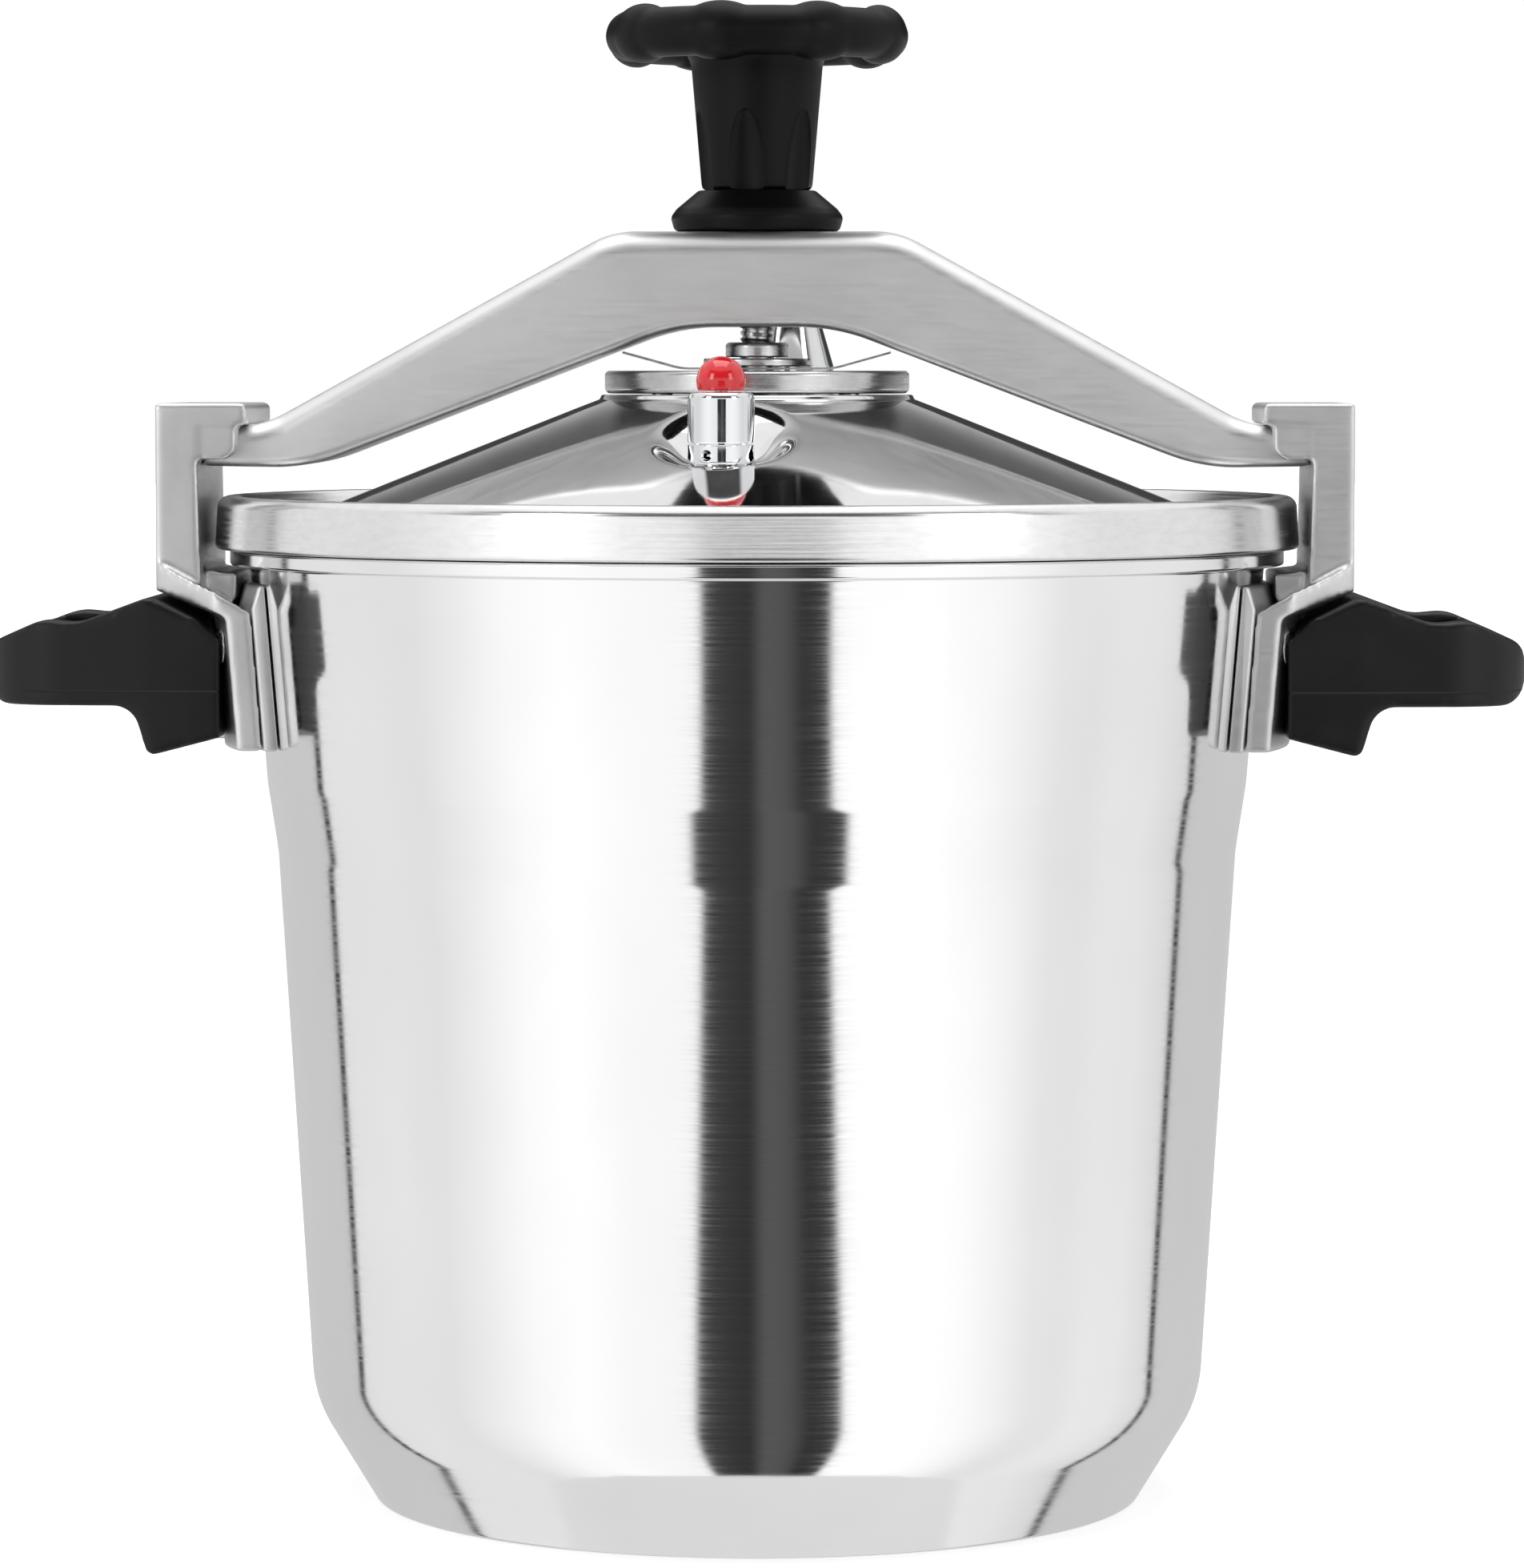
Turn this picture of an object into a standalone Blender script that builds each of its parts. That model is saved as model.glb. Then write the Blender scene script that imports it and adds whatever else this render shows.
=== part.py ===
"""A yoke-type pressure canner, in metres, +Z up, with its origin at the middle of the pot's base.

The lid is held down by a yoke whose two ends sit under hook posts on the pot's sides. A screw
spindle, captive in a plate on the lid, runs in the yoke and is turned by a lobed hand wheel.
"""

import math

import bmesh
import bpy
from mathutils import Matrix, Vector

# Clearances and facets
GAP = 0.0003  # between pieces that touch
LARGE_STEPS = 36  # facets round the pot and the lid
SMALL_STEPS = 16  # facets round a shaft or a valve
KNOB_STEPS = 24  # facets round the knob
PIN_STEPS = 8  # facets round a rivet, a screw or its hole
ARC_STEP = math.radians(45)  # turn of one facet along a small round of an outline
LARGE_ROUND = 0.0070  # from this radius on, a round's facets are LARGE_ARC_STEP
LARGE_ARC_STEP = math.radians(9)
CUT_PAST = 0.0200  # how far a cutter runs on beyond what it cuts
JOIN = 0.0010  # how far joined shapes run into each other
MERGE = 0.000001  # points nearer than this are one
FLAT_TURN = 0.001  # radians: sides turning less than this are one straight side
SIDE_SHARE = 0.48  # the most of a side that one of its rounds may take
FLAT = math.cos(math.pi / LARGE_STEPS)  # a facet's distance from the axis, as a share of the radius

# Pot
MOUTH_RADIUS = 0.1200
POT_HEIGHT = 0.2314
POT_WALL = 0.0032
POT_BASE = 0.0050
FLANGE_LIP = 0.0048  # how far the flange stands out of the wall
FLANGE_THICKNESS = 0.0037
WALL_LEAN = 0.077  # inwards per unit of depth, above the step
LOWER_LEAN = 0.0615  # the same, below the step
STEP_DEPTH = 0.0564  # from the rim down to the top of the step
STEP_HEIGHT = 0.0170
STEP_INSET = 0.0026
SHOULDER_HEIGHT = 0.0248  # where the wall turns in to the sloping foot
SHOULDER_ROUND = 0.030
STEP_ROUND = 0.0200
FLOOR_ROUND = 0.0080
FLANGE_ROUND = 0.0008
FOOT_LEAN = 0.61
BASE_EDGE_ROUND = 0.0015

# Lid
LID_OVERHANG = 0.0037  # beyond the flange
RIM_HEIGHT = 0.0127
RIM_TOP_INSET = 0.0008
RIM_BAND = 0.0055  # width of the rim's flat top
RIM_ROUND = 0.0035
RIM_EDGE = 0.0015  # round of the rim's inner edge
MOAT_DEPTH = 0.0052
MOAT_ROUND = 0.0040
MOAT_BANK = 0.0035  # width of the slope from the moat up to the rim
CONE_ROUND = 0.0120
MOAT_INSET = 0.0095  # from the pot's mouth in to the foot of the cone
CONE_TOP_RADIUS = 0.0440
CONE_SLOPE = 0.3947
SHOULDER_RISE = 0.0022  # from the top of the cone to the foot of the plateau
PLATEAU_RADIUS = 0.0378
PLATEAU_EDGE = 0.0011
LID_WALL = 0.0033
GASKET_INSET = 0.0008  # from the pot's mouth to the gasket's inner edge
GASKET_WIDTH = 0.0060
GASKET_HEIGHT = 0.0045
GROOVE_WALL = 0.0025

# Lug plates, hook posts
PLATE_HALF_WIDTH = 0.0410
LUG_THICKNESS = 0.0033
LUG_BOTTOM_DEPTH = 0.0474  # from the rim down to the plates' lower ends
LUG_TOP_DEPTH = 0.0134
LUG_LIP = 0.0013  # thickness of the lug's top edge
LUG_BEND_HEIGHT = 0.0055  # of the top edge that leans in to the wall
POST_PLATE = 0.00575
FOOT_DEPTH = 0.0154  # from the rim down to the inner end of the foot's underside
FOOT_SLOPE = 0.42
FOOT_TOP_SLOPE = 0.62
FOOT_THICKNESS = 0.0045
FOOT_CLEARANCE = 0.0004  # from the foot down to the handle
FOOT_LIP = 0.0010  # of the foot above its underside, at its inner edge
FOOT_SWELL = 0.0025  # how much thicker the foot is where it meets the column
PLATE_CORNER_ROUND = 0.0040
GUSSET_HALF_WIDTH = 0.0220
GUSSET_DROP = 0.0004  # below the flange
GUSSET_FALL = 0.0012  # of the gusset's top towards the pot
GUSSET_TOE = 0.0040  # above the foot's underside, against the wall
COLUMN_CLEARANCE = 0.0018  # from the lid's rim to the column
COLUMN_THICKNESS = 0.0098
COLUMN_TAPER = 0.0010  # how much thicker the column is at its foot
HOOK_FRONT = -0.0303
HOOK_BACK = 0.0270
LIP_REACH = 0.0120
LIP_THICKNESS = 0.0052
CHEEK_THICKNESS = 0.0070
CHEEK_DROP = 0.0082
CHEEK_ROUND = 0.0040
CHEEK_TAIL = 0.0035  # of the cheek's root down the column
HOOK_ROUND = 0.0015
LIP_ROUND = 0.0010
POST_EDGE = 0.0016

# Yoke
YOKE_TRAVEL = 0.0035  # how far the yoke drops when the screw is undone
YOKE_HEIGHT = 0.0227  # at its middle
YOKE_END_HEIGHT = 0.0100
YOKE_END_GAP = 0.0069  # from the lid's rim up to the yoke's ends
YOKE_END_CLEARANCE = 0.0006  # from the yoke's ends to the columns
YOKE_TOP_HALF = 0.0344
YOKE_ARCH_HALF = 0.0189
END_PAD = 0.0140  # length of the flat top of each end
END_SOLE = 0.0255  # length of the flat underside of each end
YOKE_CROWN_ROUND = 0.0190
YOKE_TIP_ROUND = 0.0025
YOKE_TIP_LIFT = 0.0008  # of the underside at the very end
YOKE_SOLE_ROUND = 0.0400
YOKE_ARCH_ROUND = 0.0700
YOKE_EDGE = 0.0022
BUSH_RADIUS = 0.0080
BUSH_FLANGE = 0.0105
BUSH_FLANGE_HEIGHT = 0.0015
BUSH_SEAT = 0.0015  # thickness of yoke left under the bush

# Pressure plate, leaf spring and washer
PLATE_RADIUS = 0.0370
PLATE_HEIGHT = 0.0055
PLATE_POCKET_RADIUS = 0.0085
PLATE_POCKET_DEPTH = 0.0030
PLATE_RIVET_CIRCLE = 0.0260
PLATE_RIVETS = 3
RIVET_RADIUS = 0.0025
RIVET_HEAD_RADIUS = 0.0045
RIVET_HEAD = 0.0018
RIVET_HEAD_CLEARANCE = 0.0012  # from a lug rivet's head to the floor of its pocket
HEAD_ROUND = 0.0012  # of a rivet's or screw's head
MACHINED_ROUND = 0.0012  # of a turned edge
LEAF_THICKNESS = 0.0005
LEAF_HALF_WIDTH = 0.0060
LEAF_FLAT_HALF = 0.0185
LEAF_ROUND = 0.0120
LEAF_HALF_LENGTH = 0.0325
WASHER_RADIUS = 0.0130
WASHER_HEIGHT = 0.0019
WASHER_EDGE = 0.0005

# Spindle and knob
SPINDLE_RADIUS = 0.0042
SHAFT_CLEARANCE = 0.0003
COLLAR_RADIUS = 0.00765
COLLAR_HEIGHT = 0.0036
CLIP_RADIUS = 0.0070
CLIP_HEIGHT = 0.0011
CLIP_MOUTH = 0.0050
SPINDLE_NECK = 0.0028
TIP_RADIUS = 0.0030
TIP_PROUD = 0.0006  # of the spindle's tip above its nut
RING_HEIGHT = 0.0097
RING_RADIUS = 0.02135
RING_TOP_RADIUS = 0.01445
RING_SHOULDER = 0.0033
RING_SHOULDER_FALL = 0.0012
RING_LIP_HEIGHT = 0.0042
RING_LIP_ROUND = 0.0030
RING_EDGE = 0.0015
STEM_RADIUS = 0.0134
STEM_TOP_RADIUS = 0.0160
WHEEL_RISE = 0.0372  # from the foot of the stem to the middle of the wheel
WHEEL_RADIUS = 0.0307
WHEEL_TUBE = 0.0058
TUBE_STEPS = 8  # facets round the wheel's tube
LOBES = 8
LOBE_LENGTH = 0.0090
LOBE_WIDTH = 0.0063
LOBE_HEIGHT = 0.0073
FIRST_LOBE = math.radians(-105)
WEB_ABOVE = 0.0020
WEB_BELOW = 0.0025
HUB_RECESS = 0.0095
HUB_RECESS_DEPTH = 0.0062
KNOB_WASHER_HEIGHT = 0.0012
NUT_RADIUS = 0.0063
NUT_HEIGHT = 0.0048
CAP_RADIUS = 0.0125
CAP_HEIGHT = 0.0040
CAP_WALL = 0.0015
CAP_ROOF = 0.0022
CAP_FALL = 0.0008  # of the cap's roof towards its edge
CAP_ROUND = 0.0030
CAP_SKIRT = 0.0030  # of the cap down into the recess

# Valves on the lid
VALVE_CIRCLE = 0.0640
VALVE_ANGLE = math.radians(-96)  # of the relief valve; the vent pipe is opposite
SEAT_DEPTH = 0.0056  # of a valve's seat below the cone
SEAT_RADIUS = 0.0112
SEAT_FLARE_RADIUS = 0.0180
SEAT_FLARE_HEIGHT = 0.0095
SEAT_WALL = 0.0036
STEM_BORE = 0.0020
VALVE_THREAD_RADIUS = 0.0040
SEAL_RADIUS = 0.0068
SEAL_HEIGHT = 0.0012
SEAL_NUT_RADIUS = 0.0072
SEAL_NUT_HEIGHT = 0.0036
THREAD_END = 0.0015  # of thread below the nut
RELIEF_RADIUS = 0.00785
RELIEF_BASE_HEIGHT = 0.0051
RELIEF_HOLES = 4
RELIEF_HOLE_RADIUS = 0.0013
RELIEF_HOLE_ANGLE = math.radians(-114)
SPIGOT_RADIUS = 0.0058
SPIGOT_HEIGHT = 0.0031
SLEEVE_HEIGHT = 0.0120
SLEEVE_WALL = 0.0015
SLEEVE_TOP = 0.0020
SLEEVE_ROUND = 0.0018
RELIEF_STEM_RADIUS = 0.0015
DISC_RADIUS = 0.0045
DISC_HEIGHT = 0.0014
BALL_RADIUS = 0.0058
BALL_FLAT = 0.0022  # from the middle of the ball down to its flat underside
BALL_SOCKET_DEPTH = 0.0045
SPRING_WIRE = 0.00025
SPRING_RADIUS = 0.0030
SPRING_TURNS = 3
VENT_FLANGE_RADIUS = 0.0080
VENT_FLANGE_HEIGHT = 0.0040
VENT_PIPE_RADIUS = 0.0035
VENT_PIPE_HEIGHT = 0.0236
VENT_BORE = 0.0015
VENT_TIP = 0.0008  # chamfer
WEIGHT_BOTTOM = 0.0080
WEIGHT_RADIUS = 0.0116
WEIGHT_SHOULDER = 0.0238
WEIGHT_SHOULDER_RADIUS = 0.0109
WEIGHT_TOP_RADIUS = 0.0062
WEIGHT_TOP = 0.0400  # of the metal, above the seat
WEIGHT_SPIGOT_RADIUS = 0.0030
WEIGHT_SPIGOT_HEIGHT = 0.0060
WEIGHT_KNOB_RADIUS = 0.0078
WEIGHT_KNOB_HEIGHT = 0.0090
WEIGHT_KNOB_ROUND = 0.0025

# Handles
HANDLE_REACH = 0.0531  # from the post plate to the tip
HANDLE_HALF_WIDTH = 0.0400
HANDLE_TIP_ROUND = 0.0240
HANDLE_TAPER = 0.0030  # how much narrower each side is at the tip
TIP_TOP_ROUND = 0.0070
TIP_UNDER_ROUND = 0.0095
CREST_ROUND = 0.0100
ROOT_ROUND = 0.0025
ARMPIT_ROUND = 0.0060
ARM_DEPTH = 0.0367  # from the rim down to the arm's underside
ROOT_DEPTH = 0.0492  # from the rim down to the root's lower outer corner
ROOT_RISE = 0.0045  # of the root's underside towards the pot
ROOT_LENGTH = 0.0126
ROOT_FLARE = 0.0036
TIP_TOP_DEPTH = 0.0225
CREST_DEPTH = 0.0160
CREST_REACH = 0.0378
DIP_DEPTH = 0.0170
DIP_REACH = 0.0295
BROW_DEPTH = 0.0106
BROW_REACH = 0.0122
FINGER_START = 0.0228
FINGER_LENGTH = 0.0180
FINGER_HALF_WIDTH = 0.0280
FINGER_ROUND = 0.0085
SCREW_RADIUS = 0.0024
SCREW_HEAD_RADIUS = 0.0042
SCREW_HEAD = 0.0028
SCREW_SINK = 0.0034
SCREW_DEPTH = 0.0433  # from the rim down to a handle screw's axis
SCREW_HALF_SPACING = 0.0160
SCREW_WALL_GAP = 0.0010
LUG_RIVET_DEPTH = 0.0225
LUG_RIVET_ANGLE = 1.5 * 2 * math.pi / LARGE_STEPS  # the middle of a facet

# Derived heights, from the base up
FLANGE_BOTTOM = POT_HEIGHT - FLANGE_THICKNESS
STEP_TOP = POT_HEIGHT - STEP_DEPTH
STEP_BOTTOM = STEP_TOP - STEP_HEIGHT
LID_BOTTOM = POT_HEIGHT + GAP
RIM_TOP = LID_BOTTOM + RIM_HEIGHT
MOAT_FLOOR = RIM_TOP - MOAT_DEPTH
CONE_FOOT_RADIUS = MOUTH_RADIUS - MOAT_INSET
CONE_TOP = MOAT_FLOOR + CONE_SLOPE * (CONE_FOOT_RADIUS - CONE_TOP_RADIUS)
PLATEAU_TOP = CONE_TOP + SHOULDER_RISE + PLATEAU_EDGE
PLATE_BOTTOM = PLATEAU_TOP + GAP
PLATE_TOP = PLATE_BOTTOM + PLATE_HEIGHT
LEAF_BOTTOM = PLATE_TOP + GAP
WASHER_BOTTOM = LEAF_BOTTOM + LEAF_THICKNESS + GAP
COLLAR_BOTTOM = WASHER_BOTTOM + WASHER_HEIGHT + GAP
COLLAR_TOP = COLLAR_BOTTOM + COLLAR_HEIGHT
YOKE_BOTTOM = COLLAR_TOP + YOKE_TRAVEL + GAP
YOKE_TOP = YOKE_BOTTOM + YOKE_HEIGHT
YOKE_END_BOTTOM = RIM_TOP + YOKE_END_GAP
YOKE_END_TOP = YOKE_END_BOTTOM + YOKE_END_HEIGHT
LIP_BOTTOM = YOKE_END_TOP + GAP
HOOK_TOP = LIP_BOTTOM + LIP_THICKNESS
RING_BOTTOM = YOKE_TOP + GAP
RING_TOP = RING_BOTTOM + RING_HEIGHT
STEM_BOTTOM = RING_TOP + GAP
WHEEL_MIDDLE = STEM_BOTTOM + WHEEL_RISE
HUB_FLOOR = WHEEL_MIDDLE + WEB_ABOVE - HUB_RECESS_DEPTH
NUT_BOTTOM = HUB_FLOOR + KNOB_WASHER_HEIGHT + 2 * GAP
CAP_BOTTOM = WHEEL_MIDDLE + WEB_ABOVE + GAP
PLATES_BOTTOM = POT_HEIGHT - LUG_BOTTOM_DEPTH

# Derived radii and reaches
WALL_RADIUS = MOUTH_RADIUS + POT_WALL  # just below the flange
FLANGE_RADIUS = WALL_RADIUS + FLANGE_LIP
LID_RADIUS = FLANGE_RADIUS + LID_OVERHANG
COLUMN_INNER = LID_RADIUS + COLUMN_CLEARANCE
COLUMN_OUTER = COLUMN_INNER + COLUMN_THICKNESS
YOKE_HALF_LENGTH = COLUMN_INNER - YOKE_END_CLEARANCE
YOKE_FRONT = HOOK_FRONT + CHEEK_THICKNESS + GAP
POST_INSIDE = LUG_THICKNESS + 2 * GAP  # from the pot's wall to the post plate
POST_OUTSIDE = POST_INSIDE + POST_PLATE
BORE = SPINDLE_RADIUS + SHAFT_CLEARANCE

# Finishes: colour, roughness, metallic
POLISHED = ((0.86, 0.86, 0.87), 0.16, 1.0)
MIRROR = ((0.84, 0.84, 0.86), 0.07, 1.0)
CAST = ((0.66, 0.66, 0.66), 0.38, 1.0)
STEEL = ((0.55, 0.55, 0.56), 0.30, 1.0)
CHROMED = ((0.80, 0.81, 0.83), 0.08, 1.0)
BAKELITE = ((0.020, 0.020, 0.021), 0.42, 0.0)
RUBBER = ((0.10, 0.10, 0.10), 0.70, 0.0)
RED = ((0.72, 0.025, 0.030), 0.18, 0.0)

for old in list(bpy.data.objects):
    bpy.data.objects.remove(old, do_unlink=True)

parts = bpy.data.collections.new("pressure_canner")
cutters = bpy.data.collections.new("cutters")
bpy.context.scene.collection.children.link(parts)
bpy.context.scene.collection.children.link(cutters)


# ---------------------------------------------------------------- helpers


def rounded(corners, closed=True):
    """The outline through corners (u, v, radius), with each corner replaced by an arc."""
    points = []
    count = len(corners)
    for index, (u, v, radius) in enumerate(corners):
        here = Vector((u, v))
        if radius == 0 or (not closed and index in (0, count - 1)):
            points.append((u, v))
            continue
        back = Vector(corners[index - 1][:2]) - here
        ahead = Vector(corners[(index + 1) % count][:2]) - here
        turn = math.pi - back.angle(ahead)
        reach = min(radius * math.tan(turn / 2), SIDE_SHARE * back.length, SIDE_SHARE * ahead.length)
        start = here + back.normalized() * reach
        end = here + ahead.normalized() * reach
        step = LARGE_ARC_STEP if radius >= LARGE_ROUND else ARC_STEP
        facets = max(1, math.ceil(turn / step))
        points += [arc_point(here, start, end, turn, i / facets) for i in range(facets + 1)]
    return points


def arc_point(corner, start, end, turn, share):
    """A point of the arc that touches both sides of a corner, share of the way along."""
    middle = (start + end) / 2
    outward = corner - middle
    half_chord = (end - start).length / 2
    radius = half_chord / math.sin(turn / 2)
    centre = middle - outward.normalized() * (radius * math.cos(turn / 2))
    from_centre = start - centre
    to_end = end - centre
    a = math.sin((1 - share) * turn) / math.sin(turn)
    b = math.sin(share * turn) / math.sin(turn)
    point = centre + from_centre * a + to_end * b
    return (point.x, point.y)


def place(obj, collection, parent=None):
    for old_home in obj.users_collection:
        old_home.objects.unlink(obj)
    collection.objects.link(obj)
    obj.parent = parent
    if collection is cutters:
        obj.hide_render = True
        obj.display_type = "WIRE"
    return obj


def finish(obj, look):
    colour, roughness, metallic = look
    material = bpy.data.materials.new(obj.name + "_finish")
    material.use_nodes = True
    shader = material.node_tree.nodes["Principled BSDF"]
    shader.inputs["Base Color"].default_value = (*colour, 1)
    shader.inputs["Roughness"].default_value = roughness
    shader.inputs["Metallic"].default_value = metallic
    obj.data.materials.clear()
    obj.data.materials.append(material)
    return obj


def turned(name, profile, steps, parent=None, collection=parts, ring=False):
    """A solid turned about Z. The profile (r, z) runs down its outer side; a ring's is closed."""
    mesh = bpy.data.meshes.new(name)
    edges = [(i, i + 1) for i in range(len(profile) - 1)]
    if ring:
        edges.append((len(profile) - 1, 0))
    mesh.from_pydata([(r, 0, z) for r, z in profile], edges, [])
    obj = bpy.data.objects.new(name, mesh)
    screw = obj.modifiers.new("turn", "SCREW")
    screw.steps = steps
    screw.render_steps = steps
    screw.use_merge_vertices = True
    screw.merge_threshold = MERGE
    screw.use_smooth_shade = True
    return place(obj, collection, parent)


def outline(name, points, low, high, plane, parent=None, collection=parts):
    """A flat outline (u, v) given thickness: in XZ between two Y values, or in XY between two Z."""
    curve = bpy.data.curves.new(name, "CURVE")
    curve.dimensions = "2D"
    curve.fill_mode = "BOTH"
    curve.extrude = (high - low) / 2
    spline = curve.splines.new("POLY")
    spline.points.add(len(points) - 1)
    for point, (u, v) in zip(spline.points, points):
        point.co = (u, v, 0, 1)
    spline.use_cyclic_u = True
    flat = bpy.data.objects.new(name + "_outline", curve)
    parts.objects.link(flat)
    bpy.context.view_layer.update()
    evaluated = flat.evaluated_get(bpy.context.evaluated_depsgraph_get())
    mesh = bpy.data.meshes.new_from_object(evaluated)
    bpy.data.objects.remove(flat, do_unlink=True)
    middle = (low + high) / 2
    if plane == "XZ":
        stand = Matrix.Translation((0, middle, 0)) @ Matrix.Rotation(math.pi / 2, 4, "X")
    else:
        stand = Matrix.Translation((0, 0, middle))
    mesh.transform(stand)
    work = bmesh.new()
    work.from_mesh(mesh)
    bmesh.ops.remove_doubles(work, verts=work.verts, dist=MERGE)
    bmesh.ops.dissolve_limit(work, angle_limit=FLAT_TURN, verts=work.verts, edges=work.edges)
    bmesh.ops.recalc_face_normals(work, faces=work.faces)
    work.to_mesh(mesh)
    work.free()
    mesh.name = name
    return place(bpy.data.objects.new(name, mesh), collection, parent)


def rod(name, radius, start, end, steps=SMALL_STEPS, collection=cutters, parent=None):
    """A plain cylinder between two points."""
    along = Vector(end) - Vector(start)
    work = bmesh.new()
    bmesh.ops.create_cone(
        work, cap_ends=True, segments=steps, radius1=radius, radius2=radius, depth=along.length
    )
    mesh = bpy.data.meshes.new(name)
    work.to_mesh(mesh)
    work.free()
    turn = along.to_track_quat("Z", "Y").to_matrix().to_4x4()
    mesh.transform(Matrix.Translation((Vector(start) + Vector(end)) / 2) @ turn)
    return place(bpy.data.objects.new(name, mesh), collection, parent)


def block(name, low, high, collection=cutters):
    size = [b - a for a, b in zip(low, high)]
    middle = [(a + b) / 2 for a, b in zip(low, high)]
    work = bmesh.new()
    scale = Matrix.Translation(middle) @ Matrix.Diagonal((*size, 1))
    bmesh.ops.create_cube(work, size=1, matrix=scale)
    mesh = bpy.data.meshes.new(name)
    work.to_mesh(mesh)
    work.free()
    return place(bpy.data.objects.new(name, mesh), collection)


def combine(obj, operation, tools):
    for tool in tools:
        step = obj.modifiers.new(tool.name, "BOOLEAN")
        step.operation = operation
        step.object = tool
    return obj


def soften(obj, width, segments=2):
    edge = obj.modifiers.new("edges", "BEVEL")
    edge.width = width
    edge.segments = segments
    edge.limit_method = "ANGLE"
    edge.angle_limit = math.radians(50)
    return obj


def bench(name, location=(0, 0, 0), parent=None):
    """An empty that carries the pieces of one moving body."""
    carrier = bpy.data.objects.new(name, None)
    carrier.location = location
    return place(carrier, parts, parent)


# ---------------------------------------------------------------- pot


def wall_radius(z):
    """The pot's outer radius at a height above the step."""
    return WALL_RADIUS - WALL_LEAN * (FLANGE_BOTTOM - z)


def make_pot():
    step_top = wall_radius(STEP_TOP)
    step_bottom = step_top - STEP_INSET
    shoulder = step_bottom - LOWER_LEAN * (STEP_BOTTOM - SHOULDER_HEIGHT)
    foot = shoulder - FOOT_LEAN * SHOULDER_HEIGHT
    inner_foot = foot - POT_WALL + FOOT_LEAN * POT_BASE
    profile = rounded(
        [
            (0, POT_BASE, 0),
            (inner_foot, POT_BASE, FLOOR_ROUND),
            (shoulder - POT_WALL, SHOULDER_HEIGHT, SHOULDER_ROUND),
            (step_bottom - POT_WALL, STEP_BOTTOM, STEP_ROUND),
            (step_top - POT_WALL, STEP_TOP, STEP_ROUND),
            (MOUTH_RADIUS, FLANGE_BOTTOM, 0),
            (MOUTH_RADIUS, POT_HEIGHT, 0),
            (FLANGE_RADIUS, POT_HEIGHT, FLANGE_ROUND),
            (FLANGE_RADIUS, FLANGE_BOTTOM, FLANGE_ROUND),
            (WALL_RADIUS, FLANGE_BOTTOM, 0),
            (step_top, STEP_TOP, STEP_ROUND),
            (step_bottom, STEP_BOTTOM, STEP_ROUND),
            (shoulder, SHOULDER_HEIGHT, SHOULDER_ROUND),
            (foot, 0, BASE_EDGE_ROUND),
            (0, 0, 0),
        ],
        closed=False,
    )
    return finish(turned("pot_body", profile, LARGE_STEPS, pot_bench), POLISHED)


# ---------------------------------------------------------------- lug plates and hook posts


def side_outline(name, corners, low, high, plane, side, **extra):
    """An outline given for the +X side, mirrored for the other."""
    return outline(name, rounded([(side * u, v, r) for u, v, r in corners]), low, high, plane, **extra)


def make_lug(side, word):
    top = POT_HEIGHT - LUG_TOP_DEPTH
    bend = top + LUG_BEND_HEIGHT
    profile = [
        (wall_radius(bend) + GAP + LUG_LIP, bend),
        (wall_radius(top) + GAP + LUG_THICKNESS, top),
        (wall_radius(PLATES_BOTTOM) + GAP + LUG_THICKNESS, PLATES_BOTTOM),
        (wall_radius(PLATES_BOTTOM) + GAP, PLATES_BOTTOM),
        (wall_radius(bend) + GAP, bend),
    ]
    lug = turned(f"lug_plate_{word}", profile, LARGE_STEPS, pot_bench, ring=True)
    span = [
        (WALL_RADIUS - CUT_PAST, -PLATE_HALF_WIDTH, 0),
        (COLUMN_OUTER, -PLATE_HALF_WIDTH, 0),
        (COLUMN_OUTER, PLATE_HALF_WIDTH, 0),
        (WALL_RADIUS - CUT_PAST, PLATE_HALF_WIDTH, 0),
    ]
    plan = side_outline(
        f"lug_plan_{word}", span, PLATES_BOTTOM - CUT_PAST, POT_HEIGHT, "XY", side, collection=cutters
    )
    combine(lug, "INTERSECT", [plan])
    return finish(combine(lug, "DIFFERENCE", fastener_holes(side, word, "lug")), CAST)


def foot_under(r):
    """Height of the foot's underside at a radius."""
    inner = wall_radius(POT_HEIGHT - FOOT_DEPTH) + POST_OUTSIDE
    return POT_HEIGHT - FOOT_DEPTH + FOOT_SLOPE * (r - inner)


def post_band(word):
    """The post plate with its sloping foot, all the way round the pot."""
    foot_bottom = POT_HEIGHT - FOOT_DEPTH
    inner = wall_radius(foot_bottom) + POST_INSIDE
    outer = wall_radius(foot_bottom) + POST_OUTSIDE
    far = COLUMN_OUTER + POST_PLATE
    foot_top = foot_bottom + FOOT_LIP
    profile = [
        (inner, foot_top),
        (outer, foot_top + FOOT_TOP_SLOPE * POST_PLATE),
        (far, foot_under(far) + FOOT_THICKNESS + FOOT_SWELL),
        (far, foot_under(far)),
        (outer, foot_bottom),
        (wall_radius(PLATES_BOTTOM) + POST_OUTSIDE, PLATES_BOTTOM),
        (wall_radius(PLATES_BOTTOM) + POST_INSIDE, PLATES_BOTTOM),
    ]
    return turned(f"hook_post_{word}", profile, LARGE_STEPS, pot_bench, ring=True)


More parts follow.
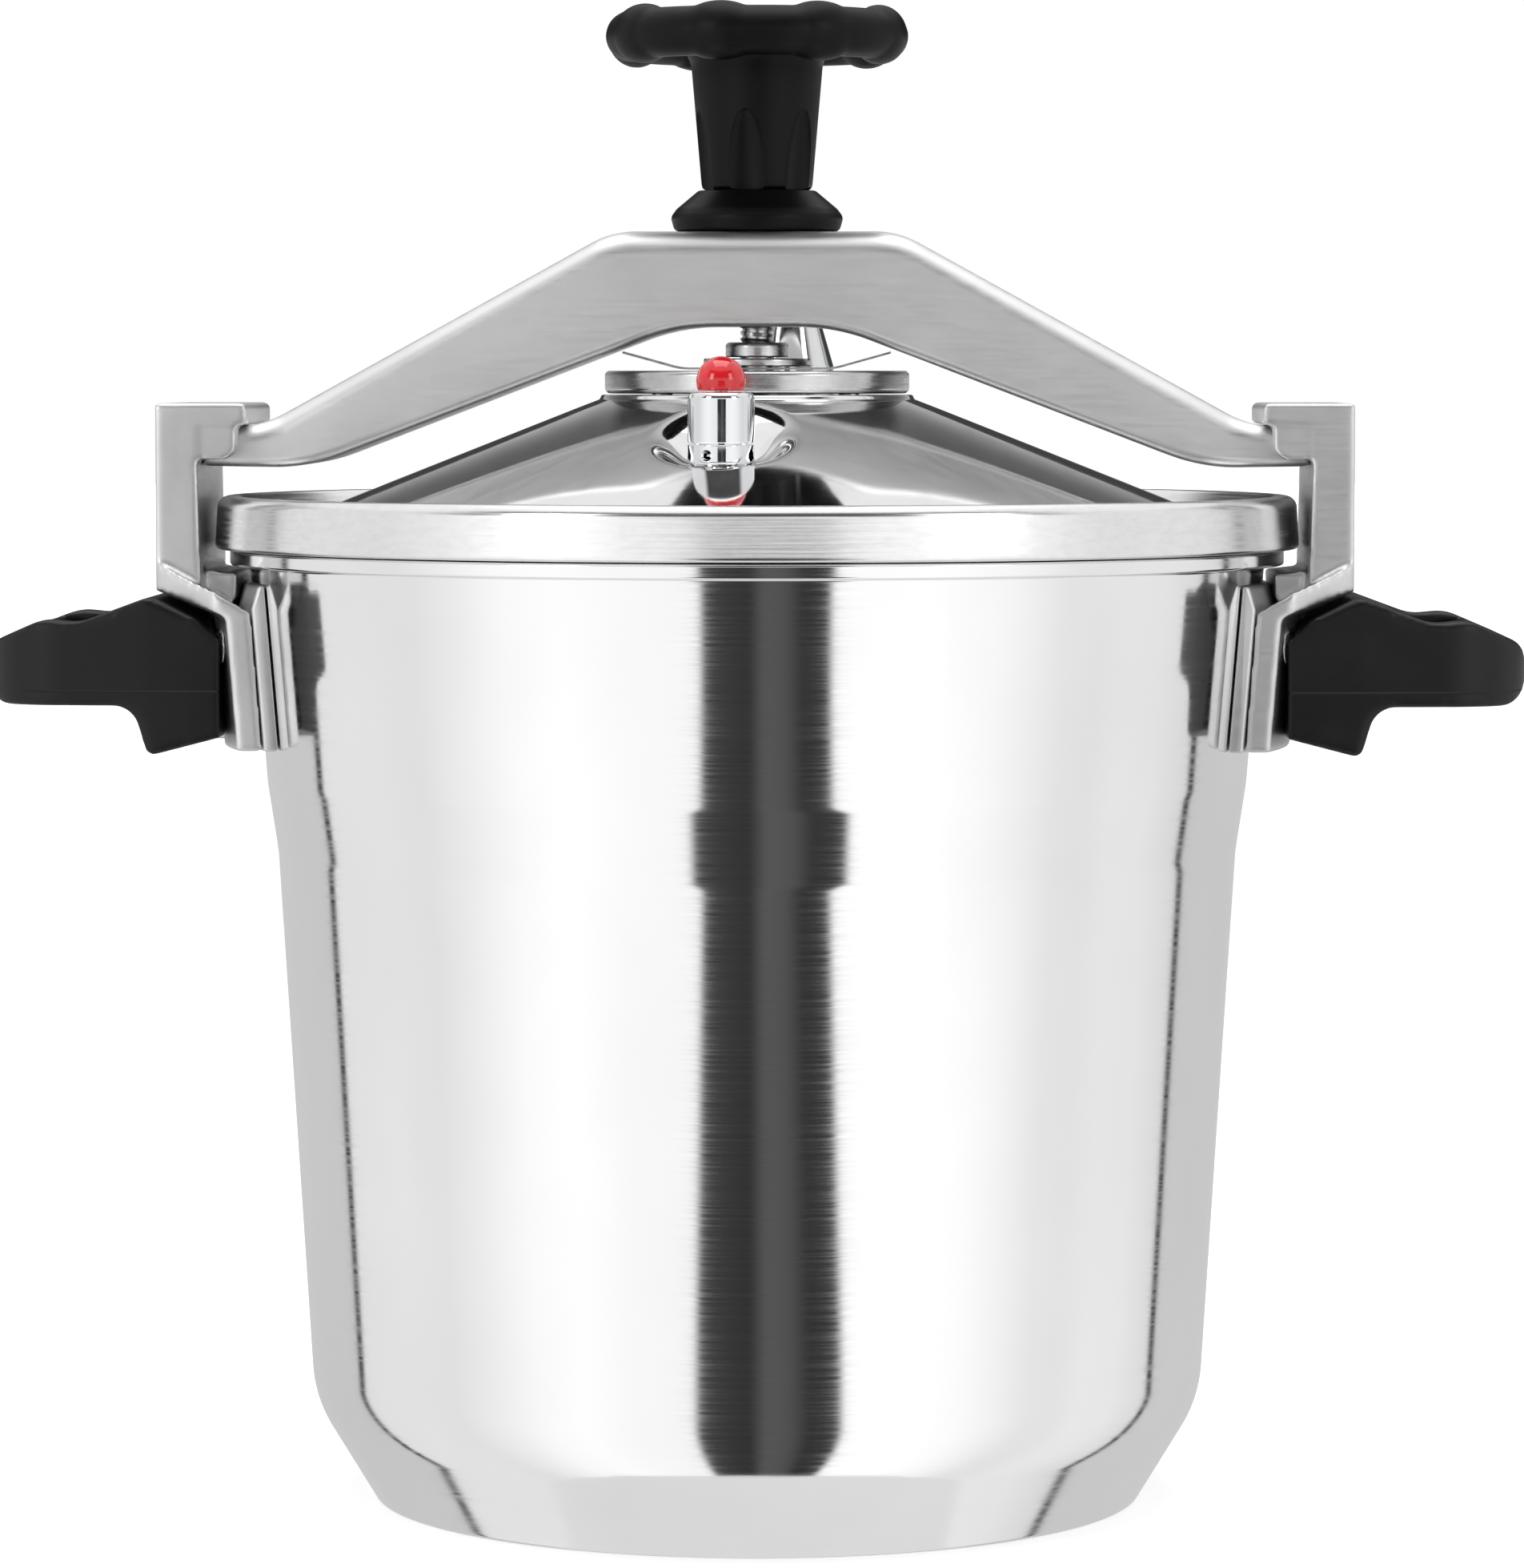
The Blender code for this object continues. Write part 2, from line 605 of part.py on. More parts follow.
def make_post(side, word):
    post = post_band(word)
    plan = [
        (WALL_RADIUS - CUT_PAST, -PLATE_HALF_WIDTH, 0),
        (FLANGE_RADIUS, -PLATE_HALF_WIDTH, PLATE_CORNER_ROUND),
        (COLUMN_OUTER - POST_EDGE, HOOK_FRONT + POST_EDGE, 0),
        (COLUMN_OUTER - POST_EDGE, HOOK_BACK - POST_EDGE, 0),
        (FLANGE_RADIUS, PLATE_HALF_WIDTH, PLATE_CORNER_ROUND),
        (WALL_RADIUS - CUT_PAST, PLATE_HALF_WIDTH, 0),
    ]
    low = PLATES_BOTTOM - CUT_PAST
    high = POT_HEIGHT + CUT_PAST
    plan = side_outline(f"post_plan_{word}", plan, low, high, "XY", side, collection=cutters)
    lip_tip = COLUMN_INNER - LIP_REACH
    column_foot = foot_under(COLUMN_OUTER) + FOOT_THICKNESS / 2
    hook = [
        (COLUMN_OUTER, column_foot, 0),
        (COLUMN_OUTER, HOOK_TOP, HOOK_ROUND),
        (lip_tip, HOOK_TOP, HOOK_ROUND),
        (lip_tip, LIP_BOTTOM, LIP_ROUND),
        (COLUMN_INNER, LIP_BOTTOM, LIP_ROUND),
        (COLUMN_INNER - COLUMN_TAPER, column_foot - FOOT_THICKNESS / 2, 0),
    ]
    hook = side_outline(f"hook_{word}", hook, HOOK_FRONT, HOOK_BACK, "XZ", side, collection=cutters)
    soften(hook, POST_EDGE, 1)
    cheek_bottom = LIP_BOTTOM - CHEEK_DROP
    middle = COLUMN_INNER + COLUMN_THICKNESS / 2
    cheek = [
        (middle, HOOK_TOP - POST_EDGE, 0),
        (lip_tip + JOIN, HOOK_TOP - POST_EDGE, 0),
        (lip_tip + JOIN, cheek_bottom, CHEEK_ROUND),
        (COLUMN_INNER, cheek_bottom, 0),
        (COLUMN_INNER, cheek_bottom - CHEEK_TAIL, 0),
        (middle, cheek_bottom - CHEEK_TAIL, 0),
    ]
    back = HOOK_FRONT + CHEEK_THICKNESS
    cheek = side_outline(
        f"cheek_{word}", cheek, HOOK_FRONT + GAP, back, "XZ", side, collection=cutters
    )
    gusset = [
        (COLUMN_INNER + 2 * JOIN, foot_under(COLUMN_INNER) + JOIN, 0),
        (COLUMN_INNER + 2 * JOIN, FLANGE_BOTTOM - GUSSET_DROP, 0),
        (WALL_RADIUS + GAP + JOIN, FLANGE_BOTTOM - GUSSET_DROP - GUSSET_FALL, 0),
        (WALL_RADIUS + GAP + JOIN, POT_HEIGHT - FOOT_DEPTH + GUSSET_TOE, 0),
        (wall_radius(PLATES_BOTTOM) + POST_OUTSIDE - JOIN, POT_HEIGHT - FOOT_DEPTH + GAP, 0),
    ]
    gusset = side_outline(
        f"gusset_{word}", gusset, -GUSSET_HALF_WIDTH, GUSSET_HALF_WIDTH, "XZ", side, collection=cutters
    )
    combine(post, "INTERSECT", [plan])
    combine(post, "UNION", [gusset, hook, cheek])
    combine(post, "DIFFERENCE", [wall_cutter] + fastener_holes(side, word, "post"))
    return finish(post, CAST)


def make_wall_cutter():
    """What the posts' gussets must leave free round the pot's wall and lug plates."""
    bend = POT_HEIGHT - LUG_TOP_DEPTH + LUG_BEND_HEIGHT
    profile = [
        (0, FLANGE_BOTTOM),
        (WALL_RADIUS + 2 * GAP, FLANGE_BOTTOM),
        (wall_radius(bend) + GAP + LUG_LIP + 2 * GAP, bend + GAP),
        (wall_radius(POT_HEIGHT - LUG_TOP_DEPTH) + POST_INSIDE, POT_HEIGHT - LUG_TOP_DEPTH + GAP),
        (wall_radius(PLATES_BOTTOM - CUT_PAST) + POST_INSIDE, PLATES_BOTTOM - CUT_PAST),
        (0, PLATES_BOTTOM - CUT_PAST),
    ]
    return turned("wall_cutter", profile, LARGE_STEPS, collection=cutters)


# ---------------------------------------------------------------- fasteners of plates and handles


def screw_line(side):
    """Where a handle screw's axis starts and ends along X, and its height."""
    height = POT_HEIGHT - SCREW_DEPTH
    wall = math.sqrt(wall_radius(height) ** 2 - SCREW_HALF_SPACING**2)
    return side * (wall + SCREW_WALL_GAP), side * root_face(height), height


def root_face(z):
    """X of the outer face of a handle's root at a height."""
    bottom = POT_HEIGHT - ROOT_DEPTH
    top = POT_HEIGHT - ARM_DEPTH
    return handle_root() + ROOT_LENGTH + ROOT_FLARE * (z - bottom) / (top - bottom)


def rivet_line(side, row):
    """Direction of a lug rivet from the pot's axis, and the wall's distance along it."""
    angle = row * LUG_RIVET_ANGLE + (0 if side > 0 else math.pi)
    direction = Vector((math.cos(angle), math.sin(angle), 0))
    return direction, wall_radius(POT_HEIGHT - LUG_RIVET_DEPTH) * FLAT


def fastener_holes(side, word, owner):
    """Cutters for the screws and rivets that pass through a lug plate, a post or a handle."""
    holes = []
    for row in (-1, 1):
        start, end, height = screw_line(side)
        y = row * SCREW_HALF_SPACING
        name = f"{owner}_screw_hole_{word}_{row}"
        far = (end + side * CUT_PAST, y, height)
        near = (start - side * CUT_PAST, y, height)
        holes.append(rod(name, SCREW_RADIUS + SHAFT_CLEARANCE, near, far, PIN_STEPS))
        direction, wall = rivet_line(side, row)
        level = Vector((0, 0, POT_HEIGHT - LUG_RIVET_DEPTH))
        if owner == "handle":
            radius = RIVET_HEAD_RADIUS + 2 * GAP
            reach = wall + POST_OUTSIDE + 2 * GAP + RIVET_HEAD + RIVET_HEAD_CLEARANCE
        else:
            radius = RIVET_RADIUS + SHAFT_CLEARANCE
            reach = wall + POST_OUTSIDE + CUT_PAST
        name = f"{owner}_rivet_hole_{word}_{row}"
        near = direction * (wall - CUT_PAST) + level
        holes.append(rod(name, radius, near, direction * reach + level, PIN_STEPS))
        if owner == "handle":
            name = f"handle_sink_{word}_{row}"
            face = (end - side * SCREW_SINK, y, height)
            sink_radius = SCREW_HEAD_RADIUS + 2 * GAP
            holes.append(rod(name, sink_radius, face, far, PIN_STEPS))
    return holes


def make_side_fasteners(side, word):
    for row, place_word in ((-1, "front"), (1, "back")):
        start, end, height = screw_line(side)
        length = abs(end - start) - SCREW_SINK + GAP
        profile = rounded(
            [
                (0, length + SCREW_HEAD, 0),
                (SCREW_HEAD_RADIUS, length + SCREW_HEAD, HEAD_ROUND),
                (SCREW_HEAD_RADIUS, length, 0),
                (SCREW_RADIUS, length, 0),
                (SCREW_RADIUS, 0, 0),
                (0, 0, 0),
            ],
            closed=False,
        )
        screw = turned(f"handle_screw_{word}_{place_word}", profile, PIN_STEPS, pot_bench)
        screw.location = (start, row * SCREW_HALF_SPACING, height)
        screw.rotation_euler = (0, side * math.pi / 2, 0)
        finish(screw, STEEL)
        direction, wall = rivet_line(side, row)
        length = POST_OUTSIDE + 2 * GAP
        profile = rounded(
            [
                (0, length + RIVET_HEAD, 0),
                (RIVET_HEAD_RADIUS, length + RIVET_HEAD, HEAD_ROUND),
                (RIVET_HEAD_RADIUS, length, 0),
                (RIVET_RADIUS, length, 0),
                (RIVET_RADIUS, 2 * GAP, 0),
                (0, 2 * GAP, 0),
            ],
            closed=False,
        )
        rivet = turned(f"lug_rivet_{word}_{place_word}", profile, PIN_STEPS, pot_bench)
        rivet.location = direction * wall + Vector((0, 0, POT_HEIGHT - LUG_RIVET_DEPTH))
        rivet.rotation_euler = direction.to_track_quat("Z", "Y").to_euler()
        finish(rivet, STEEL)


# ---------------------------------------------------------------- handles


def handle_root():
    """X of a handle's inner end: the post plate's outer face just under the foot."""
    return wall_radius(POT_HEIGHT - FOOT_DEPTH) + POST_OUTSIDE


def make_handle(side, word):
    root = handle_root()
    tip = root + HANDLE_REACH
    arm = POT_HEIGHT - ARM_DEPTH
    side_view = [
        (tip, POT_HEIGHT - TIP_TOP_DEPTH, TIP_TOP_ROUND),
        (root + CREST_REACH, POT_HEIGHT - CREST_DEPTH, CREST_ROUND),
        (root + DIP_REACH, POT_HEIGHT - DIP_DEPTH, CREST_ROUND),
        (root + BROW_REACH, POT_HEIGHT - BROW_DEPTH, ROOT_ROUND),
        (root, foot_under(root) - GAP, 0),
        (WALL_RADIUS - JOIN, foot_under(root) - 2 * ROOT_ROUND, 0),
        (WALL_RADIUS - JOIN, POT_HEIGHT - ROOT_DEPTH + ROOT_RISE, 0),
        (root + ROOT_LENGTH, POT_HEIGHT - ROOT_DEPTH, ROOT_ROUND),
        (root + ROOT_LENGTH + ROOT_FLARE, arm, ARMPIT_ROUND),
        (tip, arm, TIP_UNDER_ROUND),
    ]
    handle = side_outline(
        f"handle_{word}", side_view, -HANDLE_HALF_WIDTH, HANDLE_HALF_WIDTH, "XZ", side, parent=pot_bench
    )
    plan = [
        (WALL_RADIUS - CUT_PAST, -HANDLE_HALF_WIDTH - JOIN, 0),
        (root + ROOT_LENGTH, -HANDLE_HALF_WIDTH + GAP, CREST_ROUND),
        (tip, -HANDLE_HALF_WIDTH + HANDLE_TAPER, HANDLE_TIP_ROUND),
        (tip, HANDLE_HALF_WIDTH - HANDLE_TAPER, HANDLE_TIP_ROUND),
        (root + ROOT_LENGTH, HANDLE_HALF_WIDTH - GAP, CREST_ROUND),
        (WALL_RADIUS - CUT_PAST, HANDLE_HALF_WIDTH + JOIN, 0),
    ]
    finger = [
        (root + FINGER_START, -FINGER_HALF_WIDTH, FINGER_ROUND),
        (root + FINGER_START + FINGER_LENGTH, -FINGER_HALF_WIDTH, FINGER_ROUND),
        (root + FINGER_START + FINGER_LENGTH, FINGER_HALF_WIDTH, FINGER_ROUND),
        (root + FINGER_START, FINGER_HALF_WIDTH, FINGER_ROUND),
    ]
    low = POT_HEIGHT - ROOT_DEPTH - CUT_PAST
    high = POT_HEIGHT
    plan = side_outline(f"handle_plan_{word}", plan, low, high, "XY", side, collection=cutters)
    finger = side_outline(f"finger_hole_{word}", finger, low, high, "XY", side, collection=cutters)
    combine(handle, "INTERSECT", [plan])
    holes = fastener_holes(side, word, "handle")
    combine(handle, "DIFFERENCE", [plate_cutter, foot_cutter, finger] + holes)
    return finish(handle, BAKELITE)


def make_plate_cutter():
    """The room that the handles leave for the post plates."""
    low = PLATES_BOTTOM - CUT_PAST
    high = POT_HEIGHT
    profile = [
        (0, high),
        (wall_radius(high) + POST_OUTSIDE + GAP, high),
        (wall_radius(low) + POST_OUTSIDE + GAP, low),
        (0, low),
    ]
    return turned("plate_cutter", profile, LARGE_STEPS, collection=cutters)


def make_foot_cutter():
    """The room that the handles leave for the posts' sloping feet."""
    inner = handle_root() - POST_PLATE / 2
    far = COLUMN_OUTER + 2 * POST_PLATE
    profile = [
        (inner, POT_HEIGHT + CUT_PAST),
        (far, POT_HEIGHT + CUT_PAST),
        (far, foot_under(far) - FOOT_CLEARANCE),
        (inner, foot_under(inner) - FOOT_CLEARANCE),
    ]
    ring = turned("foot_cutter", profile, LARGE_STEPS, collection=cutters, ring=True)
    span = block(
        "foot_cutter_span",
        (-COLUMN_OUTER - GAP, -PLATE_HALF_WIDTH - CUT_PAST, POT_HEIGHT - FOOT_DEPTH - CUT_PAST),
        (COLUMN_OUTER + GAP, PLATE_HALF_WIDTH + CUT_PAST, POT_HEIGHT + 2 * CUT_PAST),
    )
    return combine(ring, "INTERSECT", [span])


# ---------------------------------------------------------------- lid


def lid_top():
    """Corners of the lid's upper surface, from the axis out to the rim."""
    corners = [
        (0, PLATEAU_TOP, 0),
        (PLATEAU_RADIUS, PLATEAU_TOP, FLANGE_ROUND),
        (PLATEAU_RADIUS + GAP, PLATEAU_TOP - PLATEAU_EDGE, 0),
        (CONE_TOP_RADIUS, CONE_TOP, CONE_ROUND),
        (CONE_FOOT_RADIUS, MOAT_FLOOR, MOAT_ROUND),
        (LID_RADIUS - RIM_TOP_INSET - RIM_BAND - MOAT_BANK, MOAT_FLOOR, RIM_EDGE),
        (LID_RADIUS - RIM_TOP_INSET - RIM_BAND, RIM_TOP, RIM_EDGE),
        (LID_RADIUS - RIM_TOP_INSET, RIM_TOP, RIM_ROUND),
        (LID_RADIUS, LID_BOTTOM, FLANGE_ROUND),
    ]
    return corners


def make_lid():
    drop = LID_WALL * math.sqrt(1 + CONE_SLOPE**2)
    groove_top = LID_BOTTOM + GASKET_HEIGHT + GAP
    groove_outer = MOUTH_RADIUS + GASKET_INSET + GASKET_WIDTH + GAP
    groove_inner = MOUTH_RADIUS + GASKET_INSET - GAP
    under = [
        (groove_outer, LID_BOTTOM, 0),
        (groove_outer, groove_top, 0),
        (groove_inner, groove_top, 0),
        (groove_inner, LID_BOTTOM, 0),
        (groove_inner - GROOVE_WALL, LID_BOTTOM, 0),
        (groove_inner - GROOVE_WALL - MOAT_BANK, MOAT_FLOOR - LID_WALL, MOAT_ROUND),
        (CONE_FOOT_RADIUS - JOIN, MOAT_FLOOR - LID_WALL, MOAT_ROUND),
        (CONE_TOP_RADIUS, CONE_TOP - drop, CONE_ROUND),
        (PLATEAU_RADIUS - JOIN, PLATEAU_TOP - PLATEAU_EDGE - LID_WALL, 0),
        (0, PLATEAU_TOP - PLATEAU_EDGE - LID_WALL, 0),
    ]
    lid = turned("lid_shell", rounded(lid_top() + under, closed=False), LARGE_STEPS, lid_bench)
    envelope = turned(
        "lid_envelope",
        rounded(lid_top() + [(0, LID_BOTTOM, 0)], closed=False),
        LARGE_STEPS,
        collection=cutters,
    )
    envelope.location = (0, 0, -LID_WALL / 3)
    for word, centre in valve_centres():
        outside = SEAT_FLARE_RADIUS + LID_WALL
        boss = turned(
            f"{word}_boss",
            [
                (0, SEAT_FLARE_HEIGHT + 2 * LID_WALL),
                (outside, SEAT_FLARE_HEIGHT + 2 * LID_WALL),
                (outside, SEAT_FLARE_HEIGHT - LID_WALL),
                (SEAT_RADIUS + LID_WALL, -SEAT_WALL),
                (0, -SEAT_WALL),
            ],
            SMALL_STEPS,
            collection=cutters,
        )
        boss.location = centre
        combine(boss, "INTERSECT", [envelope])
        combine(lid, "UNION", [boss])
        pocket = turned(
            f"{word}_pocket",
            [
                (0, CUT_PAST),
                (SEAT_FLARE_RADIUS, CUT_PAST),
                (SEAT_FLARE_RADIUS, SEAT_FLARE_HEIGHT),
                (SEAT_RADIUS, 0),
                (0, 0),
            ],
            SMALL_STEPS,
            collection=cutters,
        )
        pocket.location = centre
        hole = rod(
            f"{word}_hole",
            VALVE_THREAD_RADIUS + SHAFT_CLEARANCE,
            centre - Vector((0, 0, CUT_PAST)),
            centre + Vector((0, 0, CUT_PAST)),
        )
        combine(lid, "DIFFERENCE", [pocket, hole])
    combine(lid, "DIFFERENCE", [rivet_hole("lid", i) for i in range(PLATE_RIVETS)])
    return finish(lid, MIRROR)


def make_gasket():
    low = LID_BOTTOM + GAP / 2
    high = low + GASKET_HEIGHT - GAP / 2
    inner = MOUTH_RADIUS + GASKET_INSET
    outer = inner + GASKET_WIDTH
    profile = [(inner, high), (outer, high), (outer, low), (inner, low)]
    return finish(turned("lid_gasket", profile, LARGE_STEPS, lid_bench, ring=True), RUBBER)


# ---------------------------------------------------------------- pressure plate, leaf spring, washer


def rivet_centre(index):
    angle = math.pi / 2 + 2 * math.pi * index / PLATE_RIVETS
    return Vector((math.cos(angle), math.sin(angle), 0)) * PLATE_RIVET_CIRCLE


def rivet_hole(owner, index):
    middle = rivet_centre(index) + Vector((0, 0, PLATE_BOTTOM))
    deep = Vector((0, 0, CUT_PAST))
    name = f"{owner}_rivet_hole_{index}"
    return rod(name, RIVET_RADIUS + SHAFT_CLEARANCE, middle - deep, middle + deep, PIN_STEPS)


def make_plate():
    bore_top = PLATE_BOTTOM + PLATE_POCKET_DEPTH
    profile = rounded(
        [
            (BORE, PLATE_TOP, 0),
            (PLATE_RADIUS, PLATE_TOP, MACHINED_ROUND),
            (PLATE_RADIUS, PLATE_BOTTOM, MACHINED_ROUND),
            (PLATE_POCKET_RADIUS, PLATE_BOTTOM, 0),
            (PLATE_POCKET_RADIUS, bore_top, 0),
            (BORE, bore_top, 0),
        ]
    )
    plate = turned("pressure_plate", profile, LARGE_STEPS, lid_bench, ring=True)
    combine(plate, "DIFFERENCE", [rivet_hole("plate", i) for i in range(PLATE_RIVETS)])
    finish(plate, STEEL)
    head_top = PLATEAU_TOP - PLATEAU_EDGE - LID_WALL - GAP
    for index in range(PLATE_RIVETS):
        profile = rounded(
            [
                (0, PLATE_TOP - GAP, 0),
                (RIVET_RADIUS, PLATE_TOP - GAP, 0),
                (RIVET_RADIUS, head_top, 0),
                (RIVET_HEAD_RADIUS, head_top, 0),
                (RIVET_HEAD_RADIUS, head_top - RIVET_HEAD, HEAD_ROUND),
                (0, head_top - RIVET_HEAD, 0),
            ],
            closed=False,
        )
        rivet = turned(f"plate_rivet_{index + 1}", profile, PIN_STEPS, lid_bench)
        rivet.location = rivet_centre(index)
        finish(rivet, STEEL)


def make_leaf_spring():
    """A thin strip, flat on the plate in the middle, its ends bent up under the yoke."""
    end_top = arch_height(LEAF_HALF_LENGTH) - GAP - LEAF_THICKNESS
    top = LEAF_BOTTOM + LEAF_THICKNESS
    upper = rounded(
        [
            (-LEAF_HALF_LENGTH, end_top, 0),
            (-LEAF_FLAT_HALF, top, LEAF_ROUND),
            (LEAF_FLAT_HALF, top, LEAF_ROUND),
            (LEAF_HALF_LENGTH, end_top, 0),
        ],
        closed=False,
    )
    lower = [(x, z - LEAF_THICKNESS) for x, z in reversed(upper)]
    leaf = outline(
        "leaf_spring", upper + lower, -LEAF_HALF_WIDTH, LEAF_HALF_WIDTH, "XZ", parent=lid_bench
    )
    hole = rod("leaf_hole", BORE, (0, 0, LEAF_BOTTOM - CUT_PAST), (0, 0, LEAF_BOTTOM + CUT_PAST))
    return finish(combine(leaf, "DIFFERENCE", [hole]), STEEL)


def make_washer():
    top = WASHER_BOTTOM + WASHER_HEIGHT
    profile = [
        (BORE, top),
        (WASHER_RADIUS - WASHER_EDGE, top),
        (WASHER_RADIUS, top - WASHER_EDGE),
        (WASHER_RADIUS, WASHER_BOTTOM),
        (BORE, WASHER_BOTTOM),
    ]
    return finish(turned("thrust_washer", profile, SMALL_STEPS, lid_bench, ring=True), STEEL)


# ---------------------------------------------------------------- yoke


def arch_height(x):
    """Height of the yoke's underside along its sloping stretch."""
    foot = YOKE_HALF_LENGTH - END_SOLE
    share = (x - YOKE_ARCH_HALF) / (foot - YOKE_ARCH_HALF)
    return YOKE_BOTTOM + share * (YOKE_END_BOTTOM - YOKE_BOTTOM)


def make_yoke():
    half = [
        (YOKE_TOP_HALF, YOKE_TOP, YOKE_CROWN_ROUND),
        (YOKE_HALF_LENGTH - END_PAD, YOKE_END_TOP, YOKE_CROWN_ROUND),
        (YOKE_HALF_LENGTH, YOKE_END_TOP, YOKE_TIP_ROUND),
        (YOKE_HALF_LENGTH, YOKE_END_BOTTOM + YOKE_TIP_LIFT, YOKE_TIP_ROUND),
        (YOKE_HALF_LENGTH - END_SOLE / 2, YOKE_END_BOTTOM, YOKE_SOLE_ROUND),
        (YOKE_HALF_LENGTH - END_SOLE, YOKE_END_BOTTOM, YOKE_SOLE_ROUND),
        (YOKE_ARCH_HALF, YOKE_BOTTOM, YOKE_ARCH_ROUND),
    ]
    whole = half + [(-x, z, r) for x, z, r in reversed(half)]
    yoke = outline("yoke", rounded(whole), YOKE_FRONT, -YOKE_FRONT, "XZ", parent=yoke_bench)
    soften(yoke, YOKE_EDGE)
    profile = [
        (0, YOKE_TOP + CUT_PAST),
        (BUSH_FLANGE + GAP, YOKE_TOP + CUT_PAST),
        (BUSH_FLANGE + GAP, YOKE_TOP - BUSH_FLANGE_HEIGHT - GAP),
        (BUSH_RADIUS + GAP, YOKE_TOP - BUSH_FLANGE_HEIGHT - GAP),
        (BUSH_RADIUS + GAP, YOKE_BOTTOM + BUSH_SEAT - GAP),
        (BORE + GAP, YOKE_BOTTOM + BUSH_SEAT - GAP),
        (BORE + GAP, YOKE_BOTTOM - CUT_PAST),
        (0, YOKE_BOTTOM - CUT_PAST),
    ]
    bore = turned("bush_bore", profile, SMALL_STEPS, collection=cutters)
    finish(combine(yoke, "DIFFERENCE", [bore]), CAST)
    profile = [
        (BORE, YOKE_TOP - GAP / 2),
        (BUSH_FLANGE, YOKE_TOP - GAP / 2),
        (BUSH_FLANGE, YOKE_TOP - BUSH_FLANGE_HEIGHT),
        (BUSH_RADIUS, YOKE_TOP - BUSH_FLANGE_HEIGHT),
        (BUSH_RADIUS, YOKE_BOTTOM + BUSH_SEAT),
        (BORE, YOKE_BOTTOM + BUSH_SEAT),
    ]
    return finish(turned("yoke_bush", profile, SMALL_STEPS, yoke_bench, ring=True), STEEL)


# ---------------------------------------------------------------- spindle and knob


def make_spindle():
    clip_seat = PLATE_BOTTOM + PLATE_POCKET_DEPTH - GAP
    neck_top = clip_seat
    neck_bottom = clip_seat - CLIP_HEIGHT - 2 * GAP
    top = NUT_BOTTOM + NUT_HEIGHT + TIP_PROUD
    profile = [
        (0, top),
        (TIP_RADIUS, top),
        (TIP_RADIUS, HUB_FLOOR),
        (SPINDLE_RADIUS, HUB_FLOOR),
        (SPINDLE_RADIUS, neck_top),
        (SPINDLE_NECK, neck_top),
        (SPINDLE_NECK, neck_bottom),
        (SPINDLE_RADIUS, neck_bottom),
        (SPINDLE_RADIUS, PLATE_BOTTOM + GAP),
        (0, PLATE_BOTTOM + GAP),
    ]
    finish(turned("spindle", profile, SMALL_STEPS, spindle_bench), STEEL)
    clip_bottom = neck_bottom + GAP
    profile = [
        (SPINDLE_NECK + GAP, clip_bottom + CLIP_HEIGHT),
        (CLIP_RADIUS, clip_bottom + CLIP_HEIGHT),
        (CLIP_RADIUS, clip_bottom),
        (SPINDLE_NECK + GAP, clip_bottom),
    ]
    clip = turned("spindle_clip", profile, SMALL_STEPS, spindle_bench, ring=True)
    mouth = block(
        "clip_mouth",
        (-CLIP_MOUTH / 2, 0, clip_bottom - JOIN),
        (CLIP_MOUTH / 2, 2 * CLIP_RADIUS, clip_bottom + CLIP_HEIGHT + JOIN),
    )
    finish(combine(clip, "DIFFERENCE", [mouth]), STEEL)
    profile = rounded(
        [
            (BORE, COLLAR_TOP, 0),
            (COLLAR_RADIUS, COLLAR_TOP, MACHINED_ROUND),
            (COLLAR_RADIUS, COLLAR_BOTTOM, 0),
            (BORE, COLLAR_BOTTOM, 0),
        ]
    )
    return finish(turned("spindle_collar", profile, SMALL_STEPS, spindle_bench, ring=True), STEEL)


def make_knob():
    """The hand wheel and its stem: a turned hub joined to a ring and its lobes."""
    top = WHEEL_MIDDLE + WEB_ABOVE
    profile = [
        (HUB_RECESS, top),
        (WHEEL_RADIUS - WHEEL_TUBE / 2, top),
        (WHEEL_RADIUS - WHEEL_TUBE / 2, WHEEL_MIDDLE - WEB_BELOW),
        (STEM_TOP_RADIUS + JOIN, WHEEL_MIDDLE - WEB_BELOW),
        (STEM_TOP_RADIUS, WHEEL_MIDDLE - WEB_BELOW - JOIN),
        (STEM_RADIUS, STEM_BOTTOM),
        (BORE, STEM_BOTTOM),
        (BORE, HUB_FLOOR),
        (HUB_RECESS, HUB_FLOOR),
    ]
    knob = turned("knob", profile, KNOB_STEPS, spindle_bench, ring=True)
    turns = [-(2 * step + 1) * math.pi / TUBE_STEPS for step in range(TUBE_STEPS)]
    ring_profile = [
        (WHEEL_RADIUS + WHEEL_TUBE * math.cos(turn), WHEEL_MIDDLE + WHEEL_TUBE * math.sin(turn))
        for turn in turns
    ]
    ring = turned("knob_tube", ring_profile, 4 * LOBES, collection=cutters, ring=True)
    lobes = []
    for index in range(LOBES):
        angle = FIRST_LOBE + 2 * math.pi * index / LOBES
        spot = (math.cos(angle) * WHEEL_RADIUS, math.sin(angle) * WHEEL_RADIUS, WHEEL_MIDDLE)
        work = bmesh.new()
        shape = Matrix.Translation(spot) @ Matrix.Rotation(angle, 4, "Z")
        shape = shape @ Matrix.Diagonal((LOBE_WIDTH, LOBE_LENGTH, LOBE_HEIGHT, 1))
        bmesh.ops.create_uvsphere(work, u_segments=8, v_segments=6, radius=1, matrix=shape)
        mesh = bpy.data.meshes.new(f"lobe_{index}")
        work.to_mesh(mesh)
        work.free()
        lobes.append(place(bpy.data.objects.new(f"lobe_{index}", mesh), cutters))
    return finish(combine(knob, "UNION", [ring] + lobes), BAKELITE)


